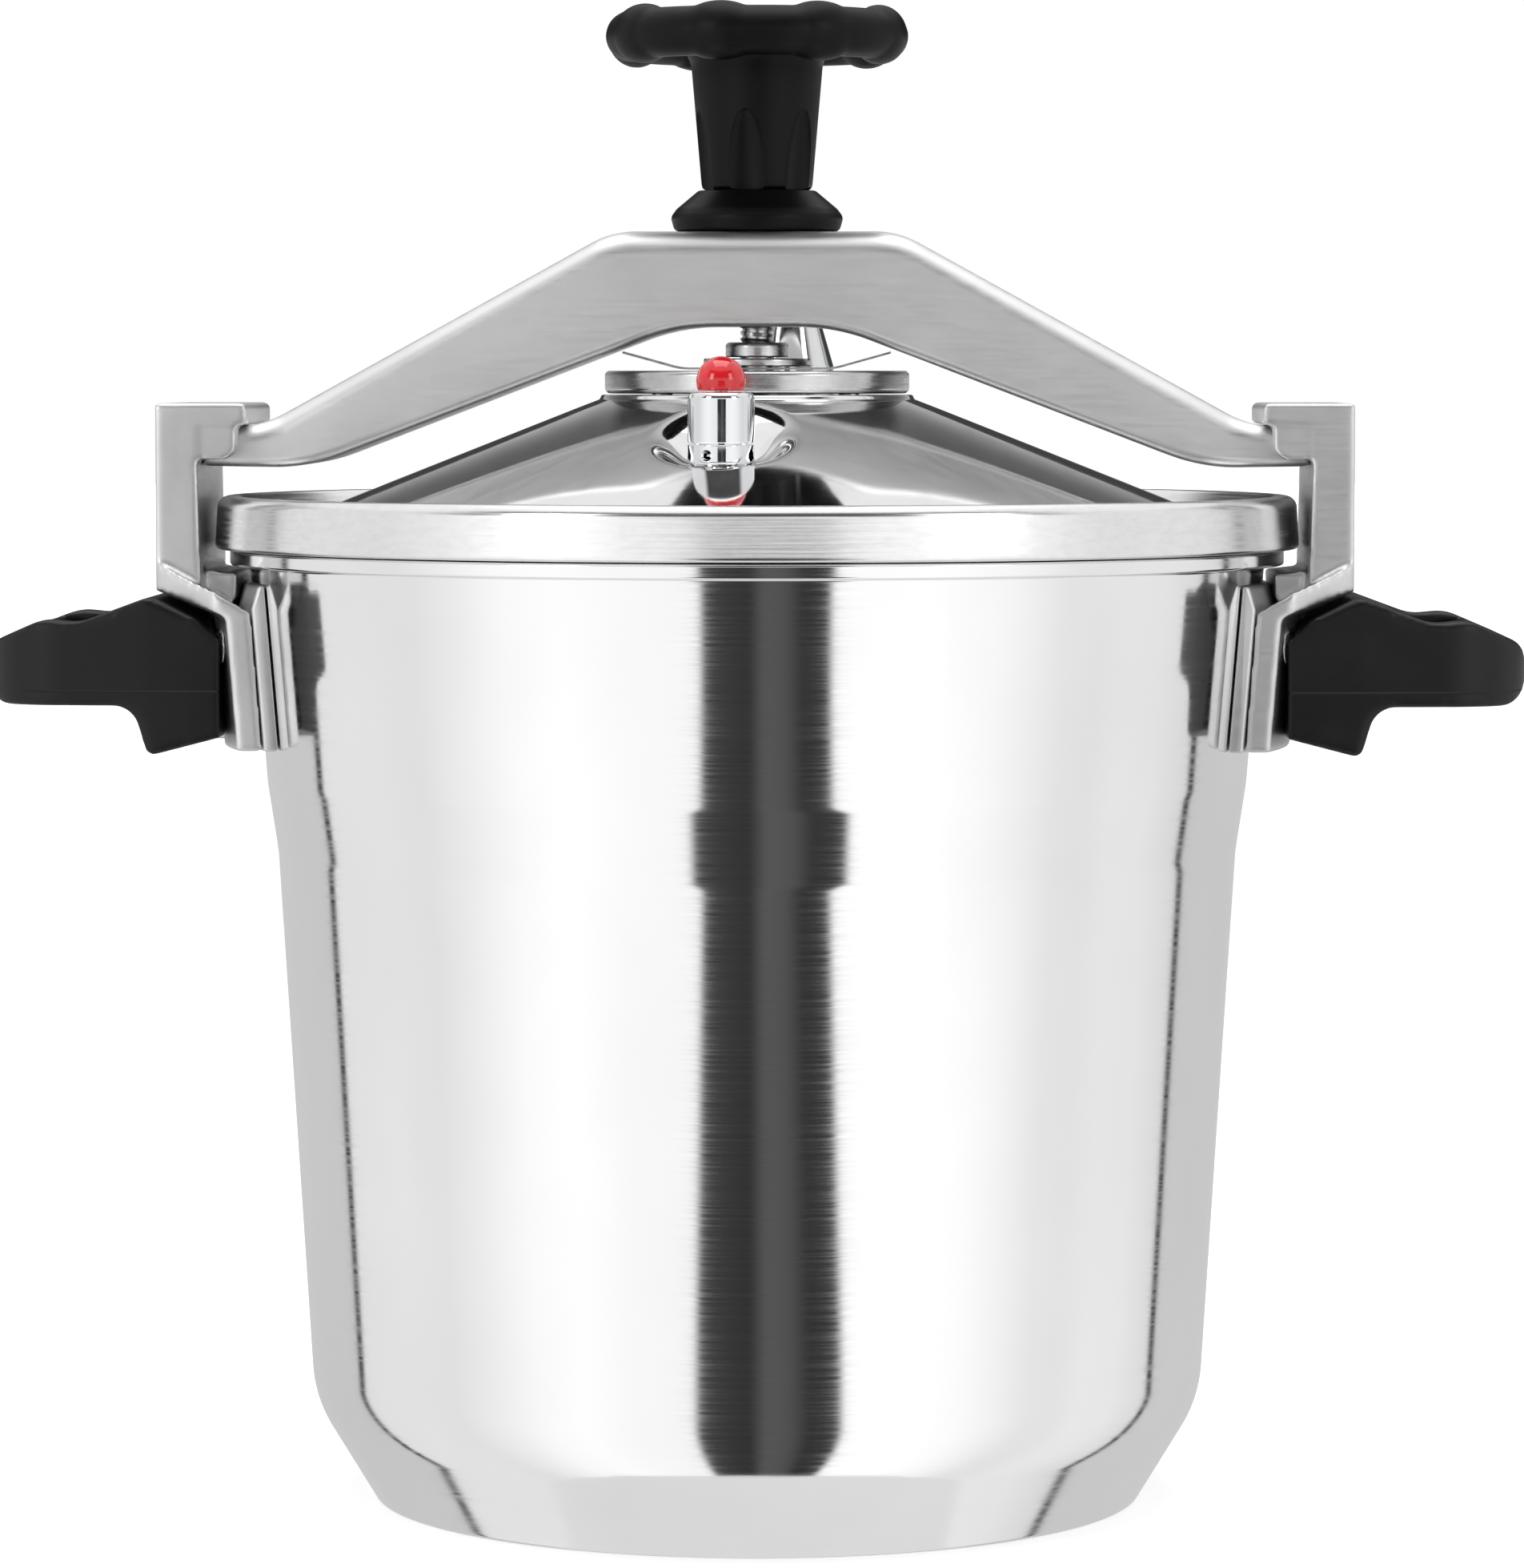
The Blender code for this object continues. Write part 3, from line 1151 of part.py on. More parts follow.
def make_nut(name, inner, outer, low, high, carrier):
    """A hexagonal nut round the carrier's axis."""
    nut = turned(name, [(0, high), (outer, high), (outer, low), (0, low)], 6, carrier)
    bore = rod(f"{name}_bore", inner, (0, 0, low - outer), (0, 0, high + outer), parent=carrier)
    return finish(combine(nut, "DIFFERENCE", [bore]), STEEL)


def make_knob_fittings():
    profile = rounded(
        [
            (BORE, RING_TOP, 0),
            (RING_TOP_RADIUS, RING_TOP, 0),
            (RING_TOP_RADIUS + RING_SHOULDER, RING_TOP - RING_SHOULDER_FALL, 0),
            (RING_RADIUS, RING_BOTTOM + RING_LIP_HEIGHT, RING_LIP_ROUND),
            (RING_RADIUS - JOIN, RING_BOTTOM, RING_EDGE),
            (BORE, RING_BOTTOM, 0),
        ]
    )
    finish(turned("knob_base_ring", profile, KNOB_STEPS, spindle_bench, ring=True), BAKELITE)
    low = HUB_FLOOR + GAP
    inner = TIP_RADIUS + SHAFT_CLEARANCE
    outer = HUB_RECESS - 2 * GAP
    high = low + KNOB_WASHER_HEIGHT
    profile = [(inner, high), (outer, high), (outer, low), (inner, low)]
    finish(turned("knob_washer", profile, SMALL_STEPS, spindle_bench, ring=True), STEEL)
    high = NUT_BOTTOM + NUT_HEIGHT
    make_nut("knob_nut", inner, NUT_RADIUS, NUT_BOTTOM, high, spindle_bench)
    roof = CAP_BOTTOM + CAP_HEIGHT
    skirt = HUB_RECESS - GAP
    profile = rounded(
        [
            (0, roof, 0),
            (CAP_RADIUS, roof - CAP_FALL, CAP_ROUND),
            (CAP_RADIUS, CAP_BOTTOM, 0),
            (skirt, CAP_BOTTOM, 0),
            (skirt, CAP_BOTTOM - CAP_SKIRT, 0),
            (skirt - CAP_WALL, CAP_BOTTOM - CAP_SKIRT, 0),
            (skirt - CAP_WALL, roof - CAP_ROOF, 0),
            (0, roof - CAP_ROOF, 0),
        ],
        closed=False,
    )
    return finish(turned("knob_cap", profile, KNOB_STEPS, spindle_bench), BAKELITE)


# ---------------------------------------------------------------- valves


def valve_centres():
    """The middles of the relief valve's and the vent pipe's seats."""
    seat = MOAT_FLOOR + CONE_SLOPE * (CONE_FOOT_RADIUS - VALVE_CIRCLE) - SEAT_DEPTH
    for word, angle in (("relief", VALVE_ANGLE), ("vent", VALVE_ANGLE + math.pi)):
        yield word, Vector((VALVE_CIRCLE * math.cos(angle), VALVE_CIRCLE * math.sin(angle), seat))


def make_seal(word, bench_of_valve):
    """The rubber seal and nut that hold a valve from under the lid."""
    top = -SEAT_WALL - GAP
    inner = VALVE_THREAD_RADIUS + SHAFT_CLEARANCE
    low = top - SEAL_HEIGHT
    profile = [(inner, top), (SEAL_RADIUS, top), (SEAL_RADIUS, low), (inner, low)]
    finish(turned(f"{word}_seal", profile, SMALL_STEPS, bench_of_valve, ring=True), RUBBER)
    top = low - GAP
    low = top - SEAL_NUT_HEIGHT
    make_nut(f"{word}_nut", inner, SEAL_NUT_RADIUS, low, top, bench_of_valve)
    return low - THREAD_END


def make_relief_valve(carrier, stem_bench):
    thread_low = make_seal("relief", carrier)
    base_top = GAP + RELIEF_BASE_HEIGHT
    spigot_top = base_top + SPIGOT_HEIGHT
    profile = [
        (STEM_BORE, spigot_top),
        (SPIGOT_RADIUS, spigot_top),
        (SPIGOT_RADIUS, base_top),
        (RELIEF_RADIUS, base_top),
        (RELIEF_RADIUS, GAP),
        (VALVE_THREAD_RADIUS, GAP),
        (VALVE_THREAD_RADIUS, thread_low),
        (STEM_BORE, thread_low),
    ]
    body = turned("relief_body", profile, SMALL_STEPS, carrier, ring=True)
    holes = []
    for index in range(RELIEF_HOLES):
        angle = RELIEF_HOLE_ANGLE + 2 * math.pi * index / RELIEF_HOLES
        outward = Vector((math.cos(angle), math.sin(angle), 0))
        level = carrier.location + Vector((0, 0, (GAP + base_top) / 2))
        start = level + outward * STEM_BORE / 2
        end = level + outward * CUT_PAST
        holes.append(rod(f"relief_hole_{index}", RELIEF_HOLE_RADIUS, start, end, PIN_STEPS))
    finish(combine(body, "DIFFERENCE", holes), CHROMED)
    sleeve_low = base_top + GAP
    sleeve_top = sleeve_low + SLEEVE_HEIGHT
    bore = RELIEF_STEM_RADIUS + 2 * GAP
    inside = RELIEF_RADIUS - SLEEVE_WALL
    profile = rounded(
        [
            (bore, sleeve_top, 0),
            (RELIEF_RADIUS, sleeve_top, SLEEVE_ROUND),
            (RELIEF_RADIUS, sleeve_low, 0),
            (inside, sleeve_low, 0),
            (inside, sleeve_top - SLEEVE_TOP, 0),
            (bore, sleeve_top - SLEEVE_TOP, 0),
        ]
    )
    finish(turned("relief_sleeve", profile, SMALL_STEPS, carrier, ring=True), CHROMED)
    disc_low = spigot_top + GAP
    disc_top = disc_low + DISC_HEIGHT
    ball_low = sleeve_top + GAP
    stem_top = ball_low + BALL_SOCKET_DEPTH - GAP
    profile = [
        (0, stem_top),
        (RELIEF_STEM_RADIUS, stem_top),
        (RELIEF_STEM_RADIUS, disc_top),
        (DISC_RADIUS, disc_top),
        (DISC_RADIUS, disc_low),
        (0, disc_low),
    ]
    finish(turned("relief_stem", profile, SMALL_STEPS, stem_bench), STEEL)
    centre = ball_low + BALL_FLAT
    start = math.acos(-BALL_FLAT / BALL_RADIUS)
    sphere = [
        (BALL_RADIUS * math.sin(start * i / 9), centre + BALL_RADIUS * math.cos(start * i / 9))
        for i in range(10)
    ]
    socket = [(bore, ball_low), (bore, ball_low + BALL_SOCKET_DEPTH), (0, ball_low + BALL_SOCKET_DEPTH)]
    finish(turned("relief_ball", sphere + socket, SMALL_STEPS, stem_bench), RED)
    make_spring(carrier, disc_top + GAP, sleeve_top - SLEEVE_TOP - GAP)


def make_spring(carrier, low, high):
    """The relief valve's coil, between the disc and the roof of the sleeve."""
    first = low + SPRING_WIRE
    rise = high - low - 2 * SPRING_WIRE
    count = SPRING_TURNS * 10
    curve = bpy.data.curves.new("relief_spring", "CURVE")
    curve.dimensions = "3D"
    curve.bevel_depth = SPRING_WIRE
    curve.bevel_resolution = 1
    curve.use_fill_caps = True
    spline = curve.splines.new("POLY")
    spline.points.add(count)
    for i, point in enumerate(spline.points):
        angle = 2 * math.pi * i / 10
        z = first + rise * i / count
        point.co = (SPRING_RADIUS * math.cos(angle), SPRING_RADIUS * math.sin(angle), z, 1)
    spring = place(bpy.data.objects.new("relief_spring", curve), parts, carrier)
    return finish(spring, STEEL)


def make_vent(carrier, weight_bench):
    thread_low = make_seal("vent", carrier)
    base_top = GAP + VENT_FLANGE_HEIGHT
    profile = [
        (VENT_BORE, VENT_PIPE_HEIGHT),
        (VENT_PIPE_RADIUS - VENT_TIP, VENT_PIPE_HEIGHT),
        (VENT_PIPE_RADIUS, VENT_PIPE_HEIGHT - VENT_TIP),
        (VENT_PIPE_RADIUS, base_top),
        (VENT_FLANGE_RADIUS, base_top),
        (VENT_FLANGE_RADIUS, GAP),
        (VALVE_THREAD_RADIUS, GAP),
        (VALVE_THREAD_RADIUS, thread_low),
        (VENT_BORE, thread_low),
    ]
    finish(turned("vent_pipe", profile, SMALL_STEPS, carrier, ring=True), CHROMED)
    bore = VENT_PIPE_RADIUS + GAP
    metal_top = WEIGHT_TOP
    spigot_top = metal_top + WEIGHT_SPIGOT_HEIGHT
    profile = [
        (0, spigot_top),
        (WEIGHT_SPIGOT_RADIUS, spigot_top),
        (WEIGHT_SPIGOT_RADIUS, metal_top),
        (WEIGHT_TOP_RADIUS, metal_top),
        (WEIGHT_SHOULDER_RADIUS, WEIGHT_SHOULDER),
        (WEIGHT_RADIUS, WEIGHT_BOTTOM),
        (bore, WEIGHT_BOTTOM),
        (bore, VENT_PIPE_HEIGHT + GAP),
        (0, VENT_PIPE_HEIGHT + GAP),
    ]
    finish(turned("regulator_weight", profile, KNOB_STEPS, weight_bench), CHROMED)
    low = metal_top + GAP
    bore = WEIGHT_SPIGOT_RADIUS + GAP
    profile = rounded(
        [
            (0, low + WEIGHT_KNOB_HEIGHT, 0),
            (WEIGHT_KNOB_RADIUS, low + WEIGHT_KNOB_HEIGHT, WEIGHT_KNOB_ROUND),
            (WEIGHT_KNOB_RADIUS - JOIN, low, 0),
            (bore, low, 0),
            (bore, spigot_top + GAP, 0),
            (0, spigot_top + GAP, 0),
        ],
        closed=False,
    )
    return finish(turned("regulator_knob", profile, SMALL_STEPS, weight_bench), BAKELITE)


# ---------------------------------------------------------------- assembly

pot_bench = bench("pot_bench")
lid_bench = bench("lid_bench", parent=pot_bench)
yoke_bench = bench("yoke_bench", parent=lid_bench)
spindle_bench = bench("spindle_bench", parent=lid_bench)

make_pot()
wall_cutter = make_wall_cutter()
plate_cutter = make_plate_cutter()
foot_cutter = make_foot_cutter()
for side, word in ((-1, "left"), (1, "right")):
    make_lug(side, word)
    make_post(side, word)
    make_handle(side, word)
    make_side_fasteners(side, word)
make_lid()
make_gasket()
make_plate()
make_leaf_spring()
make_washer()
make_yoke()
make_spindle()
make_knob()
make_knob_fittings()
valves = dict(valve_centres())
relief_carrier = bench("relief_carrier", valves["relief"], lid_bench)
relief_bench = bench("relief_bench", parent=relief_carrier)
make_relief_valve(relief_carrier, relief_bench)
vent_carrier = bench("vent_carrier", valves["vent"], lid_bench)
regulator_bench = bench("regulator_bench", parent=vent_carrier)
make_vent(vent_carrier, regulator_bench)
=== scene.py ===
import math

import bmesh
import bpy
from mathutils import Matrix, Vector


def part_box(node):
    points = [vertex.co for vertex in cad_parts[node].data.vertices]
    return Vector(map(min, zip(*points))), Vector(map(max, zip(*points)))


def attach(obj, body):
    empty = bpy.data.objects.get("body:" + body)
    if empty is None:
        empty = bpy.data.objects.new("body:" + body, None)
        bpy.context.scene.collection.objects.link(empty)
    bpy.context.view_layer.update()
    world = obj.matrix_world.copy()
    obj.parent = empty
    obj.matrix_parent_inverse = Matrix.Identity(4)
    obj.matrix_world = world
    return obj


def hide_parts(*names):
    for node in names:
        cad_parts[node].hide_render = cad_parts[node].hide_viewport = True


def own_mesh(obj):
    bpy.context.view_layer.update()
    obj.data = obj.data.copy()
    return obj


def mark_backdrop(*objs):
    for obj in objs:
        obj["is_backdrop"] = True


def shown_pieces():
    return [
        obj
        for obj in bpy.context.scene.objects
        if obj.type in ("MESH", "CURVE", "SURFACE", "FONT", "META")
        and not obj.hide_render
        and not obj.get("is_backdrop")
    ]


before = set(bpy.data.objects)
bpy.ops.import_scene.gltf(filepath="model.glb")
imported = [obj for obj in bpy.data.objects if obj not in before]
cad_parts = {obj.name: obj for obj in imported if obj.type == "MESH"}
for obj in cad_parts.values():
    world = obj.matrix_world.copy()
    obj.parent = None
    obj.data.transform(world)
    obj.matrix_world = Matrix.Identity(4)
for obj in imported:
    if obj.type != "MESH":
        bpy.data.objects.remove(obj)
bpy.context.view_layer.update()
print("frame loaded:", len(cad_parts), "nodes")


# shared helpers


def roundOff(corners, closed=False, fine=7.0):
    # a line through (u, v, radius) with an arc in each corner, a point every few degrees
    points = []
    count = len(corners)
    for index, (u, v, radius) in enumerate(corners):
        here = Vector((u, v))
        if radius == 0 or (not closed and index in (0, count - 1)):
            points.append((u, v))
            continue
        back = Vector(corners[index - 1][:2]) - here
        ahead = Vector(corners[(index + 1) % count][:2]) - here
        turn = math.pi - back.angle(ahead)
        if turn < 0.002:
            points.append((u, v))
            continue
        reach = min(radius * math.tan(turn / 2), 0.48 * back.length, 0.48 * ahead.length)
        start = here + back.normalized() * reach
        end = here + ahead.normalized() * reach
        arcRadius = reach / math.tan(turn / 2)
        towards = (back.normalized() + ahead.normalized()).normalized()
        centre = here + towards * (arcRadius / math.cos(turn / 2))
        facets = max(2, math.ceil(math.degrees(turn) / fine))
        for step in range(facets + 1):
            share = step / facets
            a = math.sin((1 - share) * turn) / math.sin(turn)
            b = math.sin(share * turn) / math.sin(turn)
            spot = centre + (start - centre) * a + (end - centre) * b
            points.append((spot.x, spot.y))
    return points


def linked(name, data):
    holder = bpy.data.objects.new(name, data)
    bpy.context.scene.collection.objects.link(holder)
    return holder


def meshObject(name, verts, faces):
    mesh = bpy.data.meshes.new(name)
    mesh.from_pydata(verts, [], faces)
    mesh.validate()
    return linked(name, mesh)


def fromWork(name, work):
    # the bmesh becomes a new object's mesh
    mesh = bpy.data.meshes.new(name)
    work.to_mesh(mesh)
    work.free()
    return linked(name, mesh)


def softShade(piece, angle=35):
    piece.data.shade_smooth()
    piece.data.set_sharp_from_angle(angle=math.radians(angle))
    return piece


def facesBetween(high, low):
    # one face for each step round; at a pole the repeated corner is left out
    steps = len(high)
    for i in range(steps):
        j = (i + 1) % steps
        corners = [high[i], low[i], low[j], high[j]]
        yield [c for k, c in enumerate(corners) if c not in corners[:k]]


def lathe(name, outline, steps=128, ring=False, centre=(0, 0, 0)):
    # outline (r, z) runs down the outer side; a ring's outline closes on itself
    verts = []
    faces = []
    rows = []
    for r, z in outline:
        if r < 1e-7:
            rows.append([len(verts)] * steps)
            verts.append((centre[0], centre[1], centre[2] + z))
            continue
        rows.append(range(len(verts), len(verts) + steps))
        for i in range(steps):
            angle = 2 * math.pi * i / steps
            x = centre[0] + r * math.cos(angle)
            verts.append((x, centre[1] + r * math.sin(angle), centre[2] + z))
    pairs = list(zip(rows, rows[1:]))
    if ring:
        pairs.append((rows[-1], rows[0]))
    for high, low in pairs:
        faces += [face for face in facesBetween(high, low) if len(face) > 2]
    return softShade(meshObject(name, verts, faces))


def flatPlate(name, points, low, high, plane="XZ"):
    # a flat outline given thickness along the axis that its plane leaves out
    work = bmesh.new()
    front = []
    for u, v in points:
        spot = (u, low, v) if plane == "XZ" else (u, v, low)
        front.append(work.verts.new(spot))
    face = work.faces.new(front)
    extruded = bmesh.ops.extrude_face_region(work, geom=[face])
    moved = [v for v in extruded["geom"] if isinstance(v, bmesh.types.BMVert)]
    shift = (0, high - low, 0) if plane == "XZ" else (0, 0, high - low)
    bmesh.ops.translate(work, verts=moved, vec=shift)
    bmesh.ops.recalc_face_normals(work, faces=work.faces)
    return fromWork(name, work)


def rod(name, radius, start, end, steps=24):
    along = Vector(end) - Vector(start)
    work = bmesh.new()
    bmesh.ops.create_cone(
        work, cap_ends=True, segments=steps, radius1=radius, radius2=radius, depth=along.length
    )
    piece = fromWork(name, work)
    turn = along.to_track_quat("Z", "Y").to_matrix().to_4x4()
    piece.data.transform(Matrix.Translation((Vector(start) + Vector(end)) / 2) @ turn)
    return piece


def ball(name, shape, rings):
    # a sphere of radius 1 put through the matrix
    work = bmesh.new()
    bmesh.ops.create_uvsphere(work, u_segments=32, v_segments=rings, radius=1, matrix=shape)
    return fromWork(name, work)


def hide(piece):
    bpy.data.objects.remove(piece, do_unlink=True)


def settle(piece):
    # the evaluated mesh becomes the piece's own, and its modifiers go
    graph = bpy.context.evaluated_depsgraph_get()
    graph.update()
    mesh = bpy.data.meshes.new_from_object(piece.evaluated_get(graph))
    old = piece.data
    piece.modifiers.clear()
    piece.data = mesh
    if old.users == 0:
        bpy.data.meshes.remove(old)
    return piece


def carve(piece, operation, *tools):
    for tool in tools:
        step = piece.modifiers.new(tool.name, "BOOLEAN")
        step.operation = operation
        step.object = tool
    settle(piece)
    for tool in tools:
        hide(tool)


def melt(piece, grain, passes, strength):
    # skins overlapping closed solids into one soft-edged casting
    skin = piece.modifiers.new("skin", "REMESH")
    skin.mode = "VOXEL"
    skin.voxel_size = grain
    soft = piece.modifiers.new("soften", "SMOOTH")
    soft.factor = strength
    soft.iterations = passes
    settle(piece)
    piece.data.shade_smooth()


def merged(name, *solids):
    # several closed solids in one mesh, ready to be melted together
    work = bmesh.new()
    for solid in solids:
        work.from_mesh(solid.data)
        hide(solid)
    return fromWork(name, work)


def dress(piece, finish, slotName, body, *nodes):
    # finish, a material slot name that is not used, body and the frame's nodes that the piece
    # stands for
    piece.data.materials.clear()
    piece.data.materials.append(finish)
    if nodes:
        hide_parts(*nodes)
    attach(piece, body)
    return piece


# finishes


def newFinish(name, colour, roughness, metallic=0.0):
    finish = bpy.data.materials.new(name)
    finish.use_nodes = True
    shader = finish.node_tree.nodes["Principled BSDF"]
    shader.inputs["Base Color"].default_value = (*colour, 1)
    shader.inputs["Roughness"].default_value = roughness
    shader.inputs["Metallic"].default_value = metallic
    return finish, finish.node_tree, shader


def addNode(tree, kind, sockets=None, **settings):
    # each socket gets a value, or a link from another node's output
    node = tree.nodes.new(kind)
    for key, value in settings.items():
        setattr(node, key, value)
    for key, value in (sockets or {}).items():
        if isinstance(value, bpy.types.NodeSocket):
            tree.links.new(value, node.inputs[key])
        else:
            node.inputs[key].default_value = value
    return node


def maths(tree, operation, *values):
    # more than two values are taken in turn
    result = values[0]
    for value in values[1:] or [None]:
        sockets = {0: result} if value is None else {0: result, 1: value}
        node = addNode(tree, "ShaderNodeMath", sockets, operation=operation)
        result = node.outputs["Value"]
    return result


def pattern(tree, stretch, detail=3.0, roughness=0.6, turn=(0, 0, 0)):
    # noise on object coordinates, stretched per axis
    where = addNode(tree, "ShaderNodeTexCoord").outputs["Object"]
    fitting = {"Vector": where, "Scale": stretch, "Rotation": turn}
    fit = addNode(tree, "ShaderNodeMapping", fitting).outputs["Vector"]
    sockets = {"Vector": fit, "Scale": 1.0, "Detail": detail, "Roughness": roughness}
    return addNode(tree, "ShaderNodeTexNoise", sockets).outputs["Fac"]


def spread(tree, value, low, high, start=0.3, end=0.7):
    sockets = {"Value": value, "From Min": start, "From Max": end, "To Min": low, "To Max": high}
    return addNode(tree, "ShaderNodeMapRange", sockets).outputs["Result"]


def roughen(tree, shader, value, low, high):
    tree.links.new(spread(tree, value, low, high), shader.inputs["Roughness"])


def tint(tree, shader, value, dark, light, start=0.3, end=0.7):
    ramp = addNode(tree, "ShaderNodeValToRGB", {"Fac": value})
    for element, place, colour in zip(ramp.color_ramp.elements, (start, end), (dark, light)):
        element.position = place
        element.color = (*colour, 1)
    tree.links.new(ramp.outputs["Color"], shader.inputs["Base Color"])


def relief(tree, shader, *layers):
    # stacks bumps: (height, depth in metres, strength)
    last = None
    for height, depth, strength in layers:
        sockets = {"Height": height, "Distance": depth, "Strength": strength}
        if last:
            sockets["Normal"] = last
        last = addNode(tree, "ShaderNodeBump", sockets).outputs["Normal"]
    tree.links.new(last, shader.inputs["Normal"])


def makeSpunAluminium():
    # brushed round and round, bright, with faint uneven patches
    finish, tree, shader = newFinish("spunAluminium", (0.90, 0.90, 0.905), 0.10, 1.0)
    lines = pattern(tree, (7, 7, 1500), 4.0)
    coarse = pattern(tree, (22, 22, 420), 2.0)
    patches = pattern(tree, (14, 14, 9), 3.0)
    roughen(tree, shader, lines, 0.06, 0.13)
    tint(tree, shader, patches, (0.87, 0.87, 0.875), (0.93, 0.93, 0.93))
    relief(tree, shader, (lines, 0.00002, 0.22), (coarse, 0.00006, 0.10))
    return finish


def makeMirrorAluminium():
    finish, tree, shader = newFinish("mirrorAluminium", (0.84, 0.84, 0.845), 0.05, 1.0)
    haze = pattern(tree, (55, 55, 160), 3.0)
    smears = pattern(tree, (22, 30, 60), 4.0, 0.7, (0.3, 0.2, 0.6))
    roughen(tree, shader, smears, 0.03, 0.09)
    tint(tree, shader, haze, (0.79, 0.79, 0.80), (0.86, 0.86, 0.86))
    relief(tree, shader, (haze, 0.00012, 0.08))
    return finish


def makeRimAluminium():
    # the lid's turned rim: brushed along its length
    finish, tree, shader = newFinish("rimAluminium", (0.84, 0.84, 0.845), 0.20, 1.0)
    lines = pattern(tree, (16, 16, 1700), 3.0)
    nicks = pattern(tree, (240, 240, 700), 2.0)
    roughen(tree, shader, lines, 0.13, 0.28)
    tint(tree, shader, nicks, (0.82, 0.82, 0.825), (0.87, 0.87, 0.87), 0.3, 0.6)
    relief(tree, shader, (lines, 0.00003, 0.4), (nicks, 0.00005, 0.10))
    return finish


def makeCastAluminium(name, turn, dark, light):
    # linished casting: fine scratches one way, shallow pits, brighter worn patches
    finish, tree, shader = newFinish(name, light, 0.42, 1.0)
    scratches = pattern(tree, (90, 90, 1300), 3.0, 0.6, turn)
    crossed = pattern(tree, (1100, 120, 120), 2.0, 0.5, (turn[0], turn[1] + 0.5, turn[2]))
    pits = pattern(tree, (420, 420, 420), 3.0, 0.7)
    wear = pattern(tree, (34, 34, 34), 4.0, 0.6)
    roughen(tree, shader, scratches, 0.38, 0.48)
    tint(tree, shader, wear, dark, light, 0.35, 0.65)
    bumps = [(scratches, 0.00004, 0.14), (crossed, 0.00004, 0.10), (pits, 0.00010, 0.16)]
    relief(tree, shader, *bumps)
    return finish


def makeTurnedSteel():
    finish, tree, shader = newFinish("turnedSteel", (0.60, 0.60, 0.605), 0.22, 1.0)
    lines = pattern(tree, (30, 30, 2600), 3.0)
    stains = pattern(tree, (90, 90, 90), 3.0)
    roughen(tree, shader, lines, 0.14, 0.34)
    tint(tree, shader, stains, (0.50, 0.50, 0.505), (0.68, 0.68, 0.68))
    relief(tree, shader, (lines, 0.00003, 0.5))
    return finish


def makeChrome():
    finish, tree, shader = newFinish("chromePlate", (0.80, 0.805, 0.815), 0.06, 1.0)
    haze = pattern(tree, (260, 260, 260), 3.0)
    roughen(tree, shader, haze, 0.04, 0.12)
    relief(tree, shader, (haze, 0.00002, 0.15))
    return finish


def makeBakelite():
    # moulded black resin: faint orange peel and handling sheen
    finish, tree, shader = newFinish("blackBakelite", (0.005, 0.005, 0.0052), 0.40)
    shader.inputs["Specular IOR Level"].default_value = 0.13
    peel = pattern(tree, (620, 620, 620), 2.0)
    handled = pattern(tree, (42, 42, 42), 4.0)
    roughen(tree, shader, handled, 0.33, 0.50)
    tint(tree, shader, handled, (0.0035, 0.0035, 0.0037), (0.0065, 0.0065, 0.0067))
    relief(tree, shader, (peel, 0.00008, 0.22))
    return finish


def makeHandleBakelite(line):
    # the same resin, with the faint parting line of the mould at one height
    finish = blackBakelite.copy()
    finish.name = "handleBakelite"
    tree = finish.node_tree
    shader = tree.nodes["Principled BSDF"]
    shader.inputs["Specular IOR Level"].default_value = 0.30
    where = addNode(tree, "ShaderNodeTexCoord").outputs["Object"]
    z = addNode(tree, "ShaderNodeSeparateXYZ", {"Vector": where}).outputs["Z"]
    near = maths(tree, "ABSOLUTE", maths(tree, "SUBTRACT", z, line))
    ridge = spread(tree, near, 1.0, 0.0, 0.0, 0.0003)
    before = shader.inputs["Normal"].links[0].from_socket
    sockets = {"Height": ridge, "Normal": before, "Distance": 0.00025, "Strength": 0.9}
    bump = addNode(tree, "ShaderNodeBump", sockets)
    tree.links.new(bump.outputs["Normal"], shader.inputs["Normal"])
    return finish


def makeRedResin():
    finish, tree, shader = newFinish("redResin", (0.70, 0.012, 0.020), 0.14)
    shader.inputs["Coat Weight"].default_value = 0.5
    shader.inputs["Coat Roughness"].default_value = 0.05
    mottle = pattern(tree, (300, 300, 300), 2.0)
    tint(tree, shader, mottle, (0.66, 0.010, 0.018), (0.74, 0.016, 0.024))
    return finish


def makeRubber():
    finish, tree, shader = newFinish("sealRubber", (0.030, 0.030, 0.031), 0.62)
    bloom = pattern(tree, (140, 140, 140), 3.0)
    roughen(tree, shader, bloom, 0.52, 0.74)
    tint(tree, shader, bloom, (0.024, 0.024, 0.025), (0.046, 0.046, 0.047))
    relief(tree, shader, (bloom, 0.00005, 0.3))
    return finish


spunAluminium = makeSpunAluminium()
mirrorAluminium = makeMirrorAluminium()
rimAluminium = makeRimAluminium()
yokeCasting = makeCastAluminium("yokeCasting", (0.0, 0.35, 0.1), (0.74,) * 3, (0.80,) * 3)
postCasting = makeCastAluminium("postCasting", (0.0, 0.9, 0.2), (0.66,) * 3, (0.76,) * 3)
turnedSteel = makeTurnedSteel()
chromePlate = makeChrome()
blackBakelite = makeBakelite()
partingHeight = 0.0155
handleBakelite = makeHandleBakelite(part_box("handle_right")[0].z + partingHeight)
redResin = makeRedResin()
sealRubber = makeRubber()
print("finishes made")


# camera

view = {
    "azimuth": math.radians(1.5),
    "distance": 1.580,
    "height": 0.2748,
    "pitch": math.radians(3.656),
    "aside": 0.0012,
    "lens": 148.85,
}


